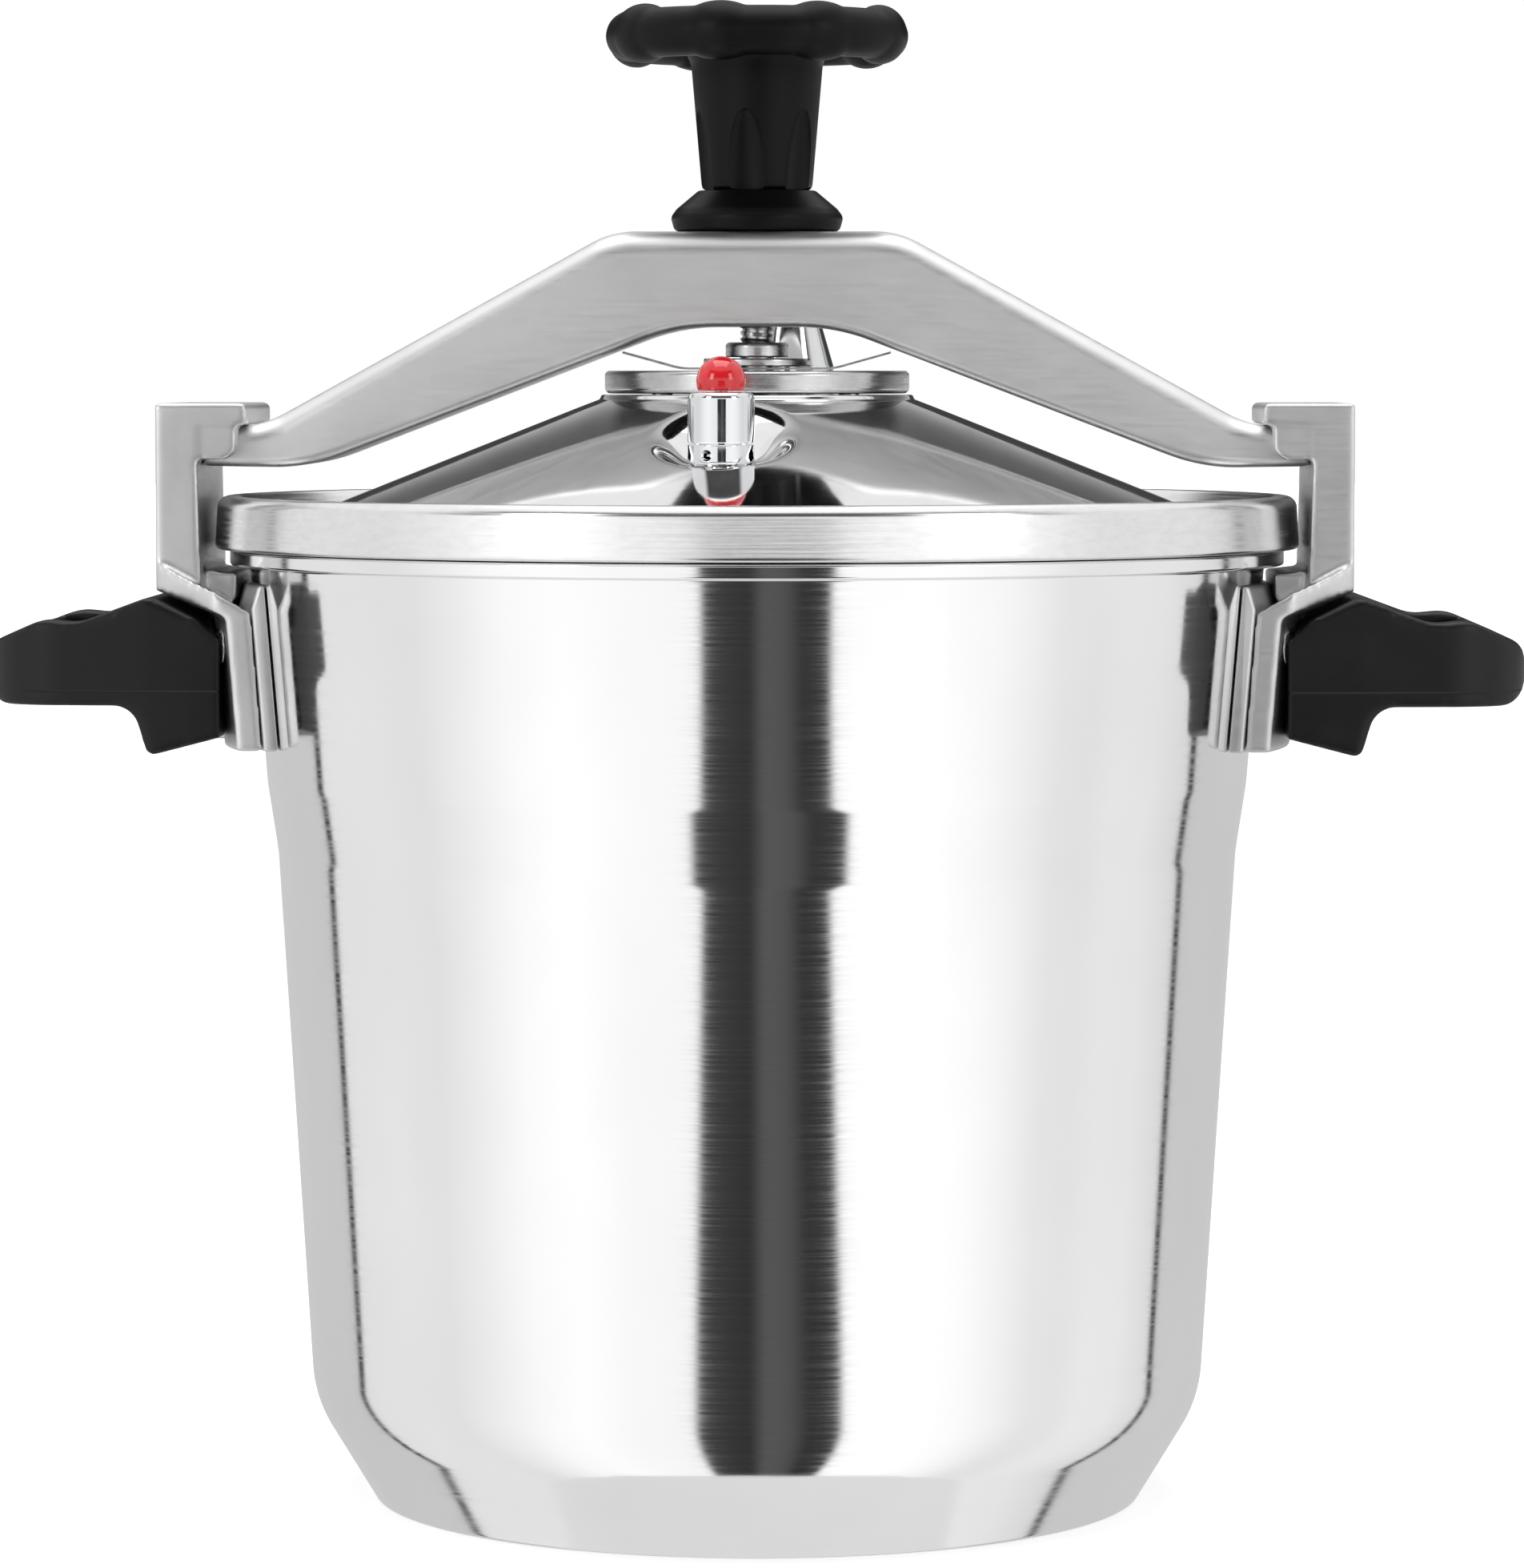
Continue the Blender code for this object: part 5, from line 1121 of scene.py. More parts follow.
def makeFasteners():
    high = fasteners["screwHeight"]
    outline = roundOff(
        [
            (0, high, 0),
            (fasteners["screwHead"] * 0.6, high, 0.002),
            (fasteners["screwHead"], high * 0.45, 0.0012),
            (fasteners["screwHead"], 0, 0.0002),
            (fasteners["shank"], 0, 0),
            (fasteners["shank"], -0.020, 0),
            (0, -0.020, 0),
        ],
        fine=12,
    )
    screw = lathe("screwPattern", evenOut(outline), 40)
    slots = []
    for along, across in ((0.0024, 0.0005), (0.0005, 0.0024)):
        corners = [(-along, -across), (along, -across), (along, across), (-along, across)]
        slots.append(flatPlate("slot", corners, high - 0.0012, high + 0.001, "XY"))
    carve(screw, "DIFFERENCE", *slots)
    softShade(screw, 35)
    tree = fastenerTree("handleScrews", screw, turnedSteel)
    start = abs(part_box("handle_screw_right_front")[1].x)
    screws = grow(
        "handleScrews",
        tree,
        {
            "Reach": start - high,
            "Half Spacing": sides["screwSpacing"],
            "Height": potTop - sides["screwDepth"],
            "Fan": 0.0,
        },
    )
    nodes = [f"handle_screw_{a}_{b}" for a in ("left", "right") for b in ("front", "back")]
    dress(screws, turnedSteel, "steel", "pot", *nodes)
    hide(screw)
    high = fasteners["rivetHeight"]
    radius = fasteners["rivetHead"]
    outline = roundOff(
        [(0, high, 0), (radius * 0.5, high, 0.002), (radius, 0.0003, 0.0004), (radius, 0, 0)]
        + [(fasteners["shank"], 0, 0), (fasteners["shank"], -0.0095, 0), (0, -0.0095, 0)],
        fine=12,
    )
    rivet = lathe("rivetPattern", outline, 40)
    level = potTop - sides["rivetDepth"]
    rivets = grow(
        "lugRivets",
        fastenerTree("lugRivets", rivet, turnedSteel),
        {
            "Reach": wallRadius(level) + postOutside + hair,
            "Half Spacing": 0.0,
            "Height": level,
            "Fan": sides["rivetTurn"],
        },
    )
    nodes = [f"lug_rivet_{a}_{b}" for a in ("left", "right") for b in ("front", "back")]
    dress(rivets, turnedSteel, "steel", "pot", *nodes)
    hide(rivet)
    # the plate's rivets, heads down under the lid
    low, top = fasteners["plateRivetBox"]
    height = top.z - low.z
    outline = roundOff(
        [(0, height, 0), (0.0025, height, 0.0003), (0.0025, 0.0018, 0), (radius, 0.0018, 0)]
        + [(radius, 0, 0.0012), (0, 0, 0)],
        fine=12,
    )
    rivet = lathe("rivetPattern", outline, 40)
    circle = fasteners["plateRivetCircle"]
    sizes = {"Count": 3, "Radius": circle, "Height": low.z, "First": math.pi / 2}
    rivets = grow("plateRivets", ringTree("plateRivets", rivet, turnedSteel), sizes)
    dress(rivets, turnedSteel, "steel", "lid", "plate_rivet_1", "plate_rivet_2", "plate_rivet_3")
    hide(rivet)


makeFasteners()
print("fasteners made")


# lid

lid = {
    "box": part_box("lid_shell"),
    "rimHeight": 0.0127,
    "rimInset": 0.0008,
    "band": 0.0055,
    "moatDepth": 0.0052,
    "bank": 0.0035,
    "coneFoot": wallTop - pot["wall"] - 0.0095,
    "coneTop": 0.0440,
    "slope": 0.3947,
    "plateau": 0.0378,
    "plateauEdge": 0.0011,
    "wall": 0.0033,
    "grooveWall": 0.0025,
    "seatRadius": 0.0112,
    "flareRadius": 0.0180,
    "flareHeight": 0.0095,
    "seatWall": 0.0036,
    "blend": 0.0052,
}
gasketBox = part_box("lid_gasket")
lidLow = lid["box"][0].z
lidRadius = lid["box"][1].x
rimTop = lidLow + lid["rimHeight"]
moatFloor = rimTop - lid["moatDepth"]
coneTopZ = moatFloor + lid["slope"] * (lid["coneFoot"] - lid["coneTop"])
plateauTop = lid["box"][1].z


def middleOf(node):
    low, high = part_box(node)
    return Vector(((low.x + high.x) / 2, (low.y + high.y) / 2, low.z))


def seatOf(sleeve, seal):
    spot = middleOf(sleeve)
    spot.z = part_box(seal)[1].z + lid["seatWall"] + hair
    return spot


reliefSeat = seatOf("relief_sleeve", "relief_seal")
ventSeat = seatOf("vent_pipe", "vent_seal")


def softMin(a, b, blend):
    reach = max(blend - abs(a - b), 0) / blend
    return min(a, b) - reach * reach * blend / 4


def dimpled(x, y, z, extra, drop):
    # the pressed seat of a valve: a flat floor with a flared side
    for seat in (reliefSeat, ventSeat):
        away = math.hypot(x - seat.x, y - seat.y)
        rise = lid["flareHeight"] / (lid["flareRadius"] - lid["seatRadius"])
        out = (away - lid["seatRadius"] - extra) * rise
        side = -softMin(-out, 0.0, 0.0040)
        z = softMin(z, seat.z - drop + side, lid["blend"])
    return z


def lidOutline():
    drop = lid["wall"] * math.sqrt(1 + lid["slope"] ** 2)
    flat = lidRadius - lid["rimInset"]
    grooveOuter = gasketBox[1].x + hair
    grooveInner = wallTop - pot["wall"] + 0.0005
    top = roundOff(
        [
            (0, plateauTop, 0),
            (lid["plateau"], plateauTop, 0.0006),
            (lid["plateau"] + 0.0005, plateauTop - lid["plateauEdge"], 0.0004),
            (lid["coneTop"], coneTopZ, 0.012),
            (lid["coneFoot"], moatFloor, 0.005),
            (flat - lid["band"] - lid["bank"], moatFloor, 0.002),
            (flat - lid["band"], rimTop, 0.0015),
            (flat, rimTop, 0.0036),
            (lidRadius, lidLow, 0.0010),
            (grooveOuter, lidLow, 0.0004),
        ],
        fine=4,
    )
    under = roundOff(
        [
            (grooveOuter, lidLow, 0),
            (grooveOuter, gasketBox[1].z + hair, 0.0006),
            (grooveInner, gasketBox[1].z + hair, 0.0006),
            (grooveInner, lidLow, 0.0008),
            (grooveInner - lid["grooveWall"], lidLow, 0.0010),
            (grooveInner - lid["grooveWall"] - 0.003, moatFloor - lid["wall"], 0.003),
            (lid["coneFoot"] - 0.001, moatFloor - lid["wall"], 0.004),
            (lid["coneTop"], coneTopZ - drop, 0.012),
            (lid["plateau"] - 0.001, plateauTop - lid["plateauEdge"] - lid["wall"], 0.001),
            (0, plateauTop - lid["plateauEdge"] - lid["wall"], 0),
        ],
        fine=6,
    )
    return evenOut(top, 0.0004, 0.0011), evenOut(under, 0.0005, 0.0016)


def lidAngles():
    # closer together across the two seats
    angles = []
    for seat in (reliefSeat, ventSeat):
        middle = math.degrees(math.atan2(seat.y, seat.x))
        angles += [middle + step * 0.55 for step in range(-34, 35)]
        angles += [middle + 18.7 + 142.6 * (i + 1) / 58 for i in range(57)]
    return sorted(math.radians(a % 360) for a in angles)


def makeLid():
    top, under = lidOutline()
    angles = lidAngles()
    steps = len(angles)
    outline = top + under[1:]
    last = len(outline) - 1
    verts = []
    rows = []
    for index, (r, z) in enumerate(outline):
        if index in (0, last):
            rows.append([len(verts)] * steps)
            verts.append((0, 0, z))
            continue
        rows.append(range(len(verts), len(verts) + steps))
        upper = index < len(top)
        for angle in angles:
            x, y = r * math.cos(angle), r * math.sin(angle)
            height = z
            if 0.040 < r < lid["coneFoot"] - 0.003:
                if upper:
                    height = dimpled(x, y, z, 0.0, 0.0)
                else:
                    height = dimpled(x, y, z, lid["wall"], lid["seatWall"])
            verts.append((x, y, height))
    faces = []
    bands = []
    bandStart = lidRadius - lid["rimInset"] - lid["band"] - lid["bank"]
    for (r, z), high, low in zip(outline, rows, rows[1:]):
        faces += facesBetween(high, low)
        bands += [int(r > bandStart)] * steps
    piece = meshObject("lidShell", verts, faces)
    softShade(piece, 40)
    dress(piece, mirrorAluminium, "mirror_aluminium", "lid", "lid_shell")
    piece.data.materials.append(rimAluminium)
    for polygon, band in zip(piece.data.polygons, bands):
        polygon.material_index = band


makeLid()
print("lid made")


# pieces turned round an axis, each given as (r, z) from its own node's box


def turnedPiece(node, outline, finish, slotName, body, steps=64, centre=(0, 0, 0), ring=True):
    points = roundOff(outline, closed=ring, fine=10)
    if ring:
        points = evenOut(points + points[:1], 0.00015, 0.01)[:-1]
    else:
        points = evenOut(points, 0.00015, 0.01)
    words = node.split("_")
    name = words[0] + "".join(word.title() for word in words[1:])
    piece = lathe(name, points, steps, ring, centre)
    return dress(piece, finish, slotName, body, node)


clamp = {
    "plate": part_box("pressure_plate"),
    "leaf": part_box("leaf_spring"),
    "washer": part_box("thrust_washer"),
    "collar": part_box("spindle_collar"),
    "bush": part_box("yoke_bush"),
    "bore": 0.0045,
    "pocketRadius": 0.0085,
    "pocketDepth": 0.0030,
    "leafThickness": 0.0005,
    "leafFlat": 0.0185,
    "drop": 0.0035,
    "bushHead": 0.0015,
    "headBore": 0.0108,
    "bushBore": 0.0083,
    "spindleBore": 0.0048,
}


def makeClamp():
    low, high = clamp["plate"]
    bore = clamp["bore"]
    pocket = low.z + clamp["pocketDepth"]
    outline = [
        (bore, high.z, 0),
        (high.x, high.z, 0.0012),
        (high.x, low.z, 0.0014),
        (clamp["pocketRadius"], low.z, 0),
        (clamp["pocketRadius"], pocket, 0),
        (bore, pocket, 0),
    ]
    turnedPiece("pressure_plate", outline, turnedSteel, "steel", "lid", 144)
    low, high = gasketBox
    inner = wallTop - pot["wall"] + 0.0008
    outline = [
        (inner, high.z, 0.0010),
        (high.x, high.z, 0.0010),
        (high.x, low.z, 0.0008),
        (inner, low.z, 0.0008),
    ]
    turnedPiece("lid_gasket", outline, sealRubber, "rubber", "lid", 144)
    low, high = clamp["washer"]
    outline = [
        (bore, high.z, 0),
        (high.x, high.z, 0.0005),
        (high.x, low.z, 0.0003),
        (bore, low.z, 0),
    ]
    turnedPiece("thrust_washer", outline, turnedSteel, "steel", "lid", 72)
    low, high = clamp["collar"]
    outline = [
        (bore, high.z, 0.0002),
        (high.x, high.z, 0.0011),
        (high.x, low.z, 0.0004),
        (bore, low.z, 0),
    ]
    turnedPiece("spindle_collar", outline, turnedSteel, "steel", "spindle", 72)
    low, high = clamp["bush"]
    seat = high.z - 0.0015 + hair / 2
    outline = [
        (bore, high.z, 0),
        (high.x, high.z, 0.0002),
        (high.x, seat, 0),
        (0.0080, seat, 0),
        (0.0080, low.z, 0),
        (bore, low.z, 0),
    ]
    turnedPiece("yoke_bush", outline, turnedSteel, "steel", "yoke", 64)


def makeLeaf():
    low, high = clamp["leaf"]
    thick = clamp["leafThickness"]
    outline = roundOff(
        [
            (low.x, high.z, 0),
            (-clamp["leafFlat"], low.z + thick, 0.016),
            (clamp["leafFlat"], low.z + thick, 0.016),
            (high.x, high.z, 0),
        ],
        fine=2,
    )
    under = [(x, z - thick) for x, z in reversed(outline)]
    leaf = flatPlate("leafSpring", outline + under, low.y, high.y)
    hole = rod("leafHole", clamp["bore"], (0, 0, low.z - 0.01), (0, 0, low.z + 0.01), 48)
    carve(leaf, "DIFFERENCE", hole)
    softShade(leaf, 30)
    dress(leaf, turnedSteel, "steel", "lid", "leaf_spring")
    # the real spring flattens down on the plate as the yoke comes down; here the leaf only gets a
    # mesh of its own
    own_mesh(leaf)


makeClamp()
makeLeaf()
print("plate, washer and leaf spring made")


# yoke

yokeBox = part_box("yoke")
yoke = {
    "height": 0.0227,
    "endHeight": 0.0100,
    "topHalf": 0.0344,
    "archHalf": 0.0189,
    "endPad": 0.0140,
    "endSole": 0.0255,
    "crown": 0.0058,  # rounding of the upper edges
    "keel": 0.0026,  # rounding of the lower edges
    "stations": 240,
}


def heightAt(line, x):
    # z of a line of (x, z) points that runs with x rising
    for (x0, z0), (x1, z1) in zip(line, line[1:]):
        if x <= x1:
            share = 0 if x1 == x0 else (x - x0) / (x1 - x0)
            return z0 + (z1 - z0) * max(share, 0)
    return line[-1][1]


def yokeSection(half, low, high, tip):
    # a section across the yoke, with soft upper corners; tip shrinks it at the very ends
    crown = min(yoke["crown"], (high - low) * 0.45)
    corners = [
        (half, high, crown),
        (-half, high, crown),
        (-half, low, yoke["keel"]),
        (half, low, yoke["keel"]),
    ]
    points = []
    for index, (y, z, radius) in enumerate(corners):
        sy = -1 if y > 0 else 1
        sz = -1 if z == high else 1
        y, z = y + sy * radius, z + sz * radius
        for step in range(9):
            angle = math.radians(90 * index + 90 * step / 8)
            points.append((y + radius * math.cos(angle), z + radius * math.sin(angle)))
    middle = (low + high) / 2
    return [(y * tip, middle + (z - middle) * (0.4 + 0.6 * tip)) for y, z in points]


def makeYoke():
    low, high = yokeBox
    length = high.x
    endLow = low.z
    endTop = endLow + yoke["endHeight"]
    archTop = high.z - yoke["height"]
    upper = roundOff(
        [
            (0, high.z, 0),
            (yoke["topHalf"], high.z, 0.022),
            (length - yoke["endPad"], endTop, 0.024),
            (length, endTop, 0),
        ],
        fine=1.5,
    )
    lower = roundOff(
        [
            (0, archTop, 0),
            (yoke["archHalf"], archTop, 0.09),
            (length - yoke["endSole"], endLow, 0.045),
            (length, endLow + 0.0004, 0),
        ],
        fine=1.5,
    )
    count = yoke["stations"]
    verts = []
    size = 36
    for i in range(count + 1):
        x = -length * math.cos(math.pi * i / count)
        x = 0.75 * x + 0.25 * length * (2 * i / count - 1)
        away = min((length - abs(x)) / 0.0025, 1.0)
        tip = 0.90 + 0.10 * math.sqrt(max(1 - (1 - away) ** 2, 0))
        section = yokeSection(high.y, heightAt(lower, abs(x)), heightAt(upper, abs(x)), tip)
        verts += [(x, y, z) for y, z in section]
    faces = []
    for i in range(count):
        for k in range(size):
            n = (k + 1) % size
            a = i * size
            b = a + size
            faces.append([a + k, b + k, b + n, a + n])
    faces.append(list(range(size)))
    faces.append([count * size + k for k in reversed(range(size))])
    piece = meshObject("yokeBar", verts, faces)
    work = bmesh.new()
    work.from_mesh(piece.data)
    bmesh.ops.recalc_face_normals(work, faces=work.faces)
    work.to_mesh(piece.data)
    work.free()
    bushLow, bushHigh = clamp["bush"]
    seat = bushHigh.z - clamp["bushHead"] - hair / 2
    levels = (high.z + 0.01, seat, bushLow.z - hair, archTop - 0.01)
    radii = (clamp["headBore"], clamp["bushBore"], clamp["spindleBore"])
    outline = [(0, levels[0])]
    for r, top, foot in zip(radii, levels, levels[1:]):
        outline += [(r, top), (r, foot)]
    bore = lathe("bore", outline + [(0, levels[-1])], 64)
    carve(piece, "DIFFERENCE", bore)
    softShade(piece, 32)
    dress(piece, yokeCasting, "cast_aluminium", "yoke", "yoke")


makeYoke()
print("yoke made")


# spindle and hand wheel

spindle = {
    "box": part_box("spindle"),
    "radius": 0.0042,
    "core": 0.0036,
    "neck": 0.0028,
    "pitch": 0.0015,
    "tip": 0.0030,
}
wheel = {
    "box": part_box("knob"),
    "radius": 0.0307,
    "tube": 0.0060,
    "lobes": 8,
    "firstLobe": math.radians(-105),
    "lobeSize": (0.0065, 0.0108, 0.0072),
    "webAbove": 0.0020,
    "webBelow": 0.0025,
    "recess": 0.0095,
    "recessDepth": 0.0062,
    "stem": 0.0134,
    "stemTop": 0.0160,
    "rise": 0.0372,
    "flutes": 6,
    "firstFlute": math.radians(-99.5),
    "fluteHalf": 0.0060,
    "fluteLength": 0.0205,
    "fluteDepth": 0.0018,
    "grain": 0.00062,
}


def threadTree(finish):
    # a turned core with a square ridge, half sunk in it, wound round it
    sizes = [(word, "Float") for word in ("Turns", "Radius", "Rise", "Ridge", "Core", "Foot")]
    tree, given = newTree("spindleThread", sizes)
    skin = wound(tree, given, 36, 4, given["Ridge"])
    sockets = {"Vertices": 48, "Radius": given["Core"], "Depth": given["Rise"]}
    core = addNode(tree, "GeometryNodeMeshCylinder", sockets).outputs["Mesh"]
    lift = vectorOf(tree, Z=maths(tree, "MULTIPLY", given["Rise"], 0.5))
    both = joined(tree, skin, moved(tree, core, lift))
    finishTree(tree, moved(tree, both, vectorOf(tree, Z=given["Foot"])), finish)
    return tree


def makeSpindle():
    low, high = spindle["box"]
    radius = spindle["radius"]
    plateLow = clamp["plate"][0].z
    neckTop = plateLow + clamp["pocketDepth"] - hair
    neckLow = neckTop - 0.0011 - 2 * hair
    threadLow = clamp["collar"][1].z
    threadTop = clamp["bush"][1].z
    hubFloor = wheel["box"][0].z + wheel["rise"] + wheel["webAbove"] - wheel["recessDepth"]
    outline = [
        (0, high.z, 0),
        (spindle["tip"], high.z, 0.0005),
        (spindle["tip"], hubFloor, 0),
        (radius, hubFloor, 0),
        (radius, threadTop, 0.0002),
        (spindle["core"] - 0.0003, threadTop, 0),
        (spindle["core"] - 0.0003, threadLow, 0),
        (radius, threadLow, 0.0002),
        (radius, neckTop, 0),
        (spindle["neck"], neckTop, 0),
        (spindle["neck"], neckLow, 0),
        (radius, neckLow, 0),
        (radius, low.z, 0.0003),
        (0, low.z, 0),
    ]
    shaft = lathe("shaft", evenOut(roundOff(outline, fine=15), 0.00015, 0.01), 48)
    rise = threadTop - threadLow
    thread = grow(
        "thread",
        threadTree(turnedSteel),
        {
            "Turns": rise / spindle["pitch"] - 0.5,
            "Radius": spindle["core"],
            "Rise": rise,
            "Ridge": spindle["radius"] - spindle["core"],
            "Core": spindle["core"],
            "Foot": threadLow,
        },
    )
    piece = merged("spindle", shaft, thread)
    softShade(piece, 30)
    dress(piece, turnedSteel, "steel", "spindle", "spindle")


def circleOutline(radius, tube, height, count=28):
    turns = [-2 * math.pi * i / count for i in range(count)]
    return [(radius + tube * math.cos(t), height + tube * math.sin(t)) for t in turns]


def makeWheel():
    foot = wheel["box"][0].z
    middle = foot + wheel["rise"]
    top = middle + wheel["webAbove"]
    bore = clamp["bore"]
    outline = roundOff(
        [
            (wheel["recess"], top, 0.0006),
            (wheel["radius"] - 0.003, top, 0),
            (wheel["radius"] - 0.003, middle - wheel["webBelow"], 0),
            (wheel["stemTop"] + 0.0022, middle - wheel["webBelow"], 0.002),
            (wheel["stemTop"], middle - wheel["webBelow"] - 0.004, 0.003),
            (wheel["stem"], foot, 0.0004),
            (bore, foot, 0),
            (bore, top - wheel["recessDepth"], 0),
            (wheel["recess"], top - wheel["recessDepth"], 0),
        ],
        closed=True,
        fine=12,
    )
    hub = lathe("hub", outline, 96, ring=True)
    ring = lathe("ring", circleOutline(wheel["radius"], wheel["tube"], middle), 144, ring=True)
    lobe = ball("lobe", Matrix.Diagonal((*wheel["lobeSize"], 1)), 20)
    lobes = grow(
        "lobes",
        ringTree("wheelLobes", lobe, blackBakelite),
        {
            "Count": wheel["lobes"],
            "Radius": wheel["radius"],
            "Height": middle,
            "First": wheel["firstLobe"],
        },
    )
    hide(lobe)
    piece = merged("handWheel", hub, ring, lobes)
    melt(piece, wheel["grain"], 9, 0.5)
    cuts = []
    fluteSize = (0.0012 + 1.6 * wheel["fluteDepth"], wheel["fluteHalf"], wheel["fluteLength"])
    for index in range(wheel["flutes"]):
        angle = wheel["firstFlute"] + 2 * math.pi * index / wheel["flutes"]
        away = wheel["stem"] + 0.0012 + 0.5 * wheel["fluteDepth"]
        shape = Matrix.Rotation(angle, 4, "Z") @ Matrix.Translation((away, 0, foot - 0.001))
        cuts.append(ball("flute", shape @ Matrix.Diagonal((*fluteSize, 1)), 24))
    carve(piece, "DIFFERENCE", *cuts)
    softShade(piece, 32)
    dress(piece, blackBakelite, "bakelite", "spindle", "knob")


def makeWheelFittings():
    low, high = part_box("knob_base_ring")
    bore = clamp["bore"]
    radius = high.x
    # up to the stem's foot, so no light shows between them
    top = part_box("knob")[0].z - hair / 4
    outline = [
        (bore, top, 0),
        (radius - 0.0068, top, 0.0012),
        (radius - 0.0015, high.z - 0.0042, 0.0032),
        (radius, high.z - 0.0062, 0.0020),
        (radius - 0.0010, low.z, 0.0016),
        (bore, low.z, 0),
    ]
    turnedPiece("knob_base_ring", outline, blackBakelite, "bakelite", "spindle", 128)
    low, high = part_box("knob_cap")
    radius = high.x
    skirt = wheel["recess"] - hair
    rest = low.z + 0.0030
    outline = [
        (0, high.z, 0),
        (radius, high.z - 0.0008, 0.0030),
        (radius, rest, 0.0003),
        (skirt, rest, 0),
        (skirt, low.z, 0),
        (skirt - 0.0015, low.z, 0),
        (skirt - 0.0015, high.z - 0.0022, 0),
        (0, high.z - 0.0022, 0),
    ]
    turnedPiece("knob_cap", outline, blackBakelite, "bakelite", "spindle", 96, ring=False)


makeSpindle()
makeWheel()
makeWheelFittings()
print("spindle and hand wheel made")


# relief valve, vent pipe and weighted regulator

relief = {
    "body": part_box("relief_body"),
    "sleeve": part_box("relief_sleeve"),
    "ball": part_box("relief_ball"),
    "stem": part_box("relief_stem"),
    "coil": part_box("relief_spring"),
    "bore": 0.0020,
    "thread": 0.0040,
    "spigot": 0.0058,
    "holes": 4,
    "hole": 0.0013,
    "firstHole": math.radians(-114),
    "wall": 0.0015,
    "ballRadius": 0.0058,
    "coilRadius": 0.0030,
    "coilWire": 0.00025,
}


def fromSeat(seat, outline):
    # an outline whose heights are absolute, moved to run from the seat's own middle
    return [(r, z - seat.z, radius) for r, z, radius in outline]


def makeRelief():
    seat = reliefSeat
    low, high = relief["body"]
    radius = (high.x - low.x) / 2
    sleeveLow, sleeveHigh = relief["sleeve"][0].z, relief["sleeve"][1].z
    baseTop = sleeveLow - hair
    outline = [
        (relief["bore"], high.z, 0),
        (relief["spigot"], high.z, 0.0004),
        (relief["spigot"], baseTop, 0),
        (radius, baseTop, 0.0003),
        (radius, seat.z + 0.0012, 0.0006),
        (radius - 0.0010, seat.z + hair, 0.0004),
        (relief["thread"], seat.z + hair, 0),
        (relief["thread"], low.z, 0.0004),
        (relief["bore"], low.z, 0),
    ]
    points = roundOff(fromSeat(seat, outline), closed=True, fine=10)
    body = lathe("reliefBody", points, 96, ring=True, centre=seat)
    holes = []
    level = Vector((seat.x, seat.y, (seat.z + baseTop) / 2 + 0.0002))
    for index in range(relief["holes"]):
        angle = relief["firstHole"] + 2 * math.pi * index / relief["holes"]
        outward = Vector((math.cos(angle), math.sin(angle), 0))
        start = level + outward * relief["bore"] / 2
        holes.append(rod("hole", relief["hole"], start, level + outward * 0.012, 32))
    carve(body, "DIFFERENCE", *holes)
    softShade(body, 30)
    dress(body, chromePlate, "chromed", "lid", "relief_body")
    inside = radius - relief["wall"]
    stemHole = 0.0021
    outline = [
        (stemHole, sleeveHigh, 0),
        (radius, sleeveHigh, 0.0016),
        (radius, sleeveLow, 0.0003),
        (inside, sleeveLow, 0),
        (inside, sleeveHigh - 0.0020, 0),
        (stemHole, sleeveHigh - 0.0020, 0),
    ]
    turnedPiece(
        "relief_sleeve", fromSeat(seat, outline), chromePlate, "chromed", "lid", 96, seat
    )
    low, high = relief["ball"]
    r = relief["ballRadius"]
    middle = high.z - r
    start = math.acos((low.z - middle) / r)
    angles = [start * i / 28 for i in range(29)]
    points = [(r * math.sin(a), middle + r * math.cos(a), 0) for a in angles]
    points += [(stemHole, low.z, 0), (stemHole, low.z + 0.0045, 0), (0, low.z + 0.0045, 0)]
    points = fromSeat(seat, points)
    turnedPiece("relief_ball", points, redResin, "red_plastic", "relief_stem", 72, seat, ring=False)
    low, high = relief["stem"]
    outline = [
        (0, high.z, 0),
        (0.0015, high.z, 0.0002),
        (0.0015, low.z + 0.0014, 0),
        (0.0045, low.z + 0.0014, 0.0002),
        (0.0045, low.z, 0.0002),
        (0, low.z, 0),
    ]
    points = fromSeat(seat, outline)
    turnedPiece("relief_stem", points, turnedSteel, "steel", "relief_stem", 48, seat, ring=False)


def makeCoil():
    low, high = relief["coil"]
    wire = relief["coilWire"]
    coil = grow(
        "reliefCoil",
        coilTree("reliefCoil", 10, turnedSteel),
        {
            "Turns": 3.0,
            "Radius": relief["coilRadius"],
            "Rise": high.z - low.z - 2 * wire,
            "Wire": wire,
            "Place": (reliefSeat.x, reliefSeat.y, low.z + wire),
        },
    )
    dress(coil, turnedSteel, "steel", "lid", "relief_spring")
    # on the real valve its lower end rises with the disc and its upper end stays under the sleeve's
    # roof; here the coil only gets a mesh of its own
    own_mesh(coil)


vent = {
    "pipe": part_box("vent_pipe"),
    "weight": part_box("regulator_weight"),
    "knob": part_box("regulator_knob"),
    "bore": 0.0015,
    "radius": 0.0035,
    "flange": 0.0040,
    "shoulder": 0.0238,
    "spigot": 0.0030,
    "spigotHeight": 0.0060,
}


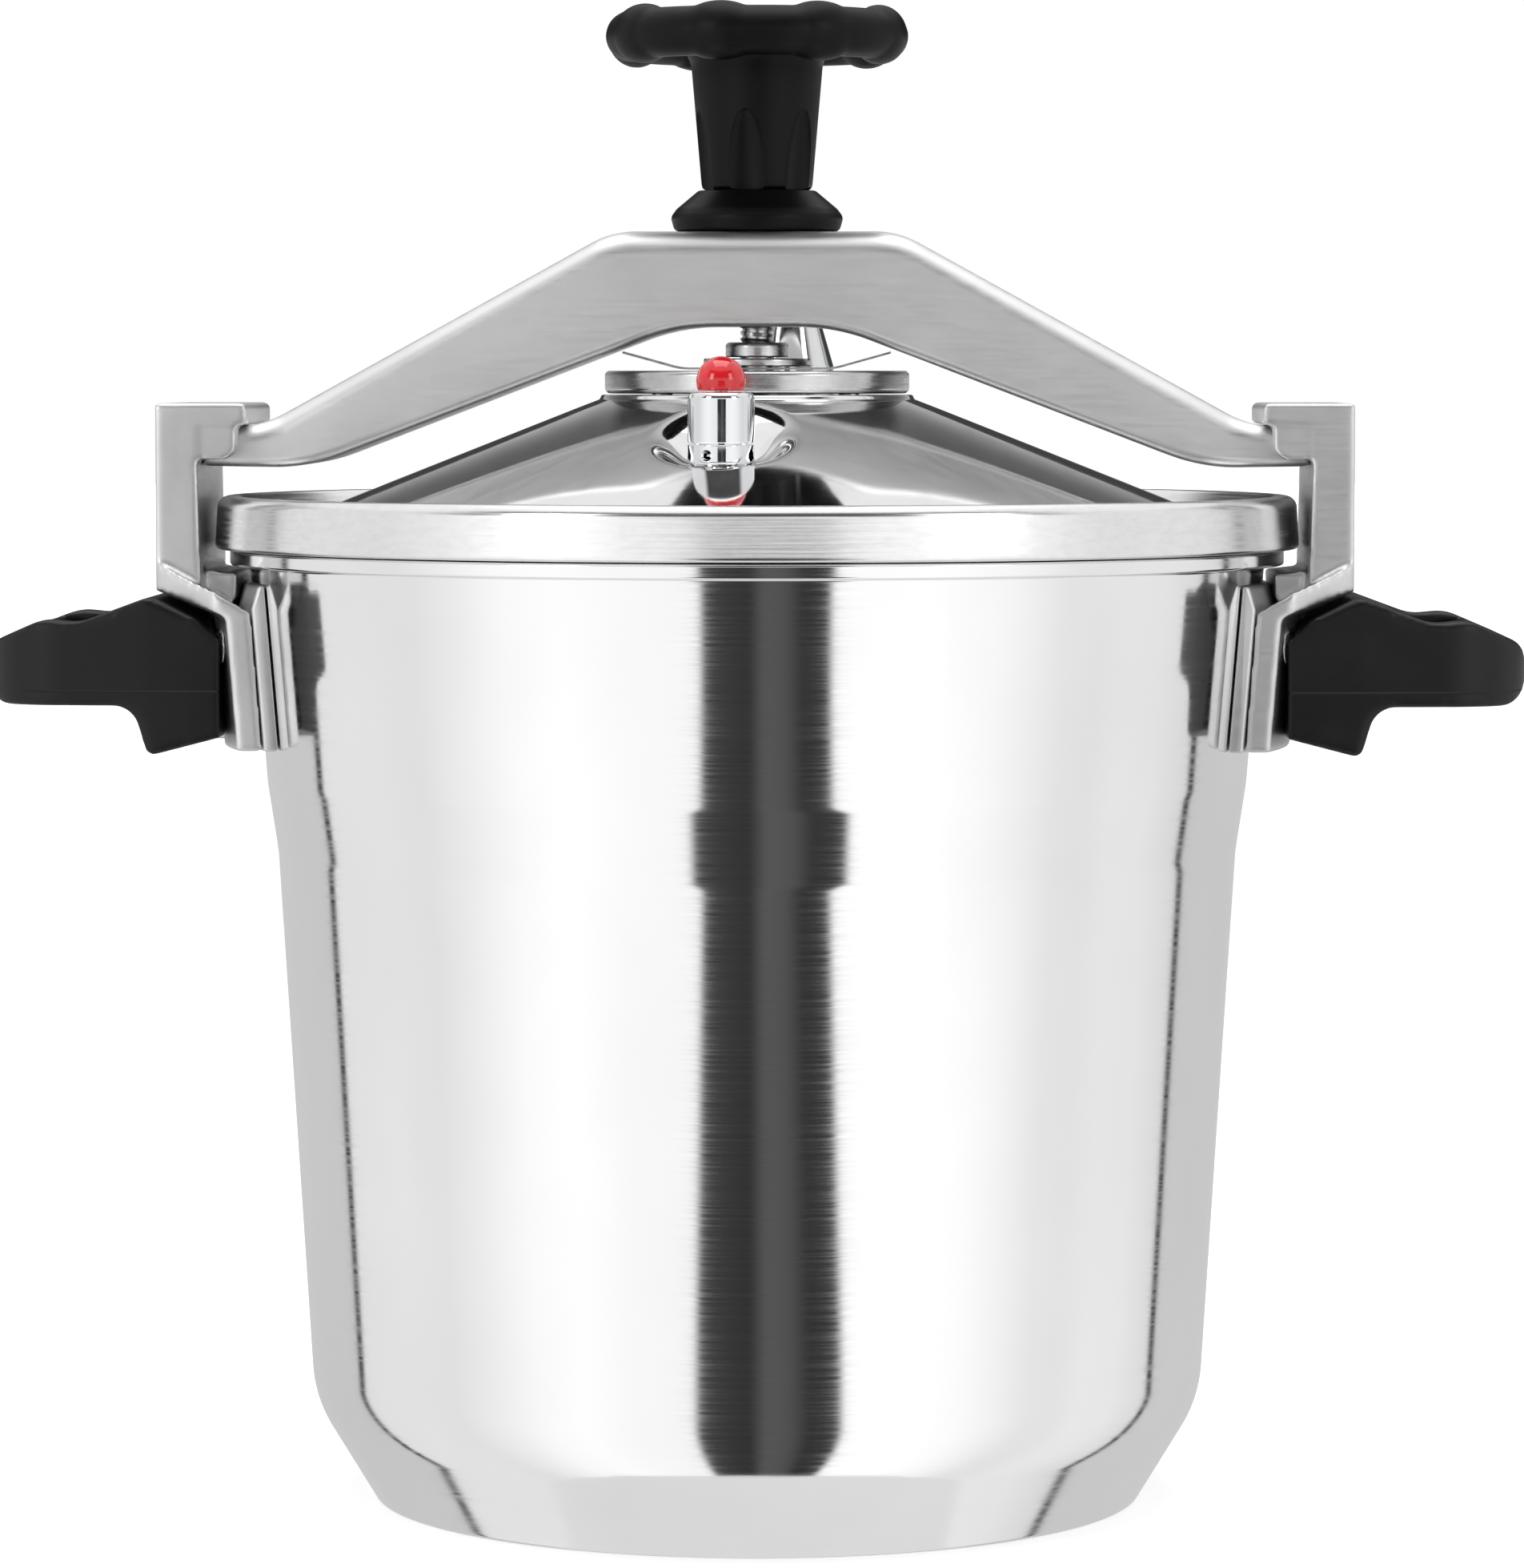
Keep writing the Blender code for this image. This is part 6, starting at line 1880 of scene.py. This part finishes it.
def makeVent():
    seat = ventSeat
    low, high = vent["pipe"]
    base = seat.z + hair + vent["flange"]
    outline = [
        (vent["bore"], high.z, 0),
        (vent["radius"], high.z, 0.0008),
        (vent["radius"], base, 0.0006),
        ((high.x - low.x) / 2, base, 0.0006),
        ((high.x - low.x) / 2, seat.z + hair, 0.0003),
        (0.0040, seat.z + hair, 0),
        (0.0040, low.z, 0.0004),
        (vent["bore"], low.z, 0),
    ]
    turnedPiece("vent_pipe", fromSeat(seat, outline), chromePlate, "chromed", "lid", 64, seat)
    low, high = vent["weight"]
    metalTop = high.z - vent["spigotHeight"]
    bore = vent["radius"] + hair
    pipeTop = vent["pipe"][1].z + hair
    radius = (high.x - low.x) / 2
    outline = [
        (0, high.z, 0),
        (vent["spigot"], high.z, 0.0003),
        (vent["spigot"], metalTop, 0),
        (0.0062, metalTop, 0.0006),
        (radius - 0.0007, seat.z + vent["shoulder"], 0.0015),
        (radius, low.z, 0.0010),
        (bore, low.z, 0.0003),
        (bore, pipeTop, 0),
        (0, pipeTop, 0),
    ]
    points = fromSeat(seat, outline)
    turnedPiece("regulator_weight", points, chromePlate, "chromed", "regulator", 96, seat, False)
    low, high = vent["knob"]
    outline = [
        (0, high.z, 0),
        (0.0075, high.z, 0.0025),
        (0.0066, low.z, 0.0004),
        (0.0033, low.z, 0),
        (0.0033, metalTop + vent["spigotHeight"] + hair, 0),
        (0, metalTop + vent["spigotHeight"] + hair, 0),
    ]
    points = fromSeat(seat, outline)
    turnedPiece("regulator_knob", points, blackBakelite, "bakelite", "regulator", 64, seat, False)


makeRelief()
makeCoil()
makeVent()

# small fittings out of sight keep the frame's own shapes
plainFittings = {
    "spindle_clip": turnedSteel,
    "knob_washer": turnedSteel,
    "knob_nut": turnedSteel,
    "relief_seal": sealRubber,
    "relief_nut": turnedSteel,
    "vent_seal": sealRubber,
    "vent_nut": turnedSteel,
}
for node, finish in plainFittings.items():
    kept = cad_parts[node]
    if not kept.material_slots:
        kept.data.materials.append(finish)
    for slot in kept.material_slots:
        slot.material = finish
print("valves and small fittings made")

for mesh in list(bpy.data.meshes):
    if mesh.users == 0:
        bpy.data.meshes.remove(mesh)
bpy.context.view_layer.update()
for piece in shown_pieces():
    piece.data.calc_loop_triangles()
    print(piece.name, len(piece.data.loop_triangles))
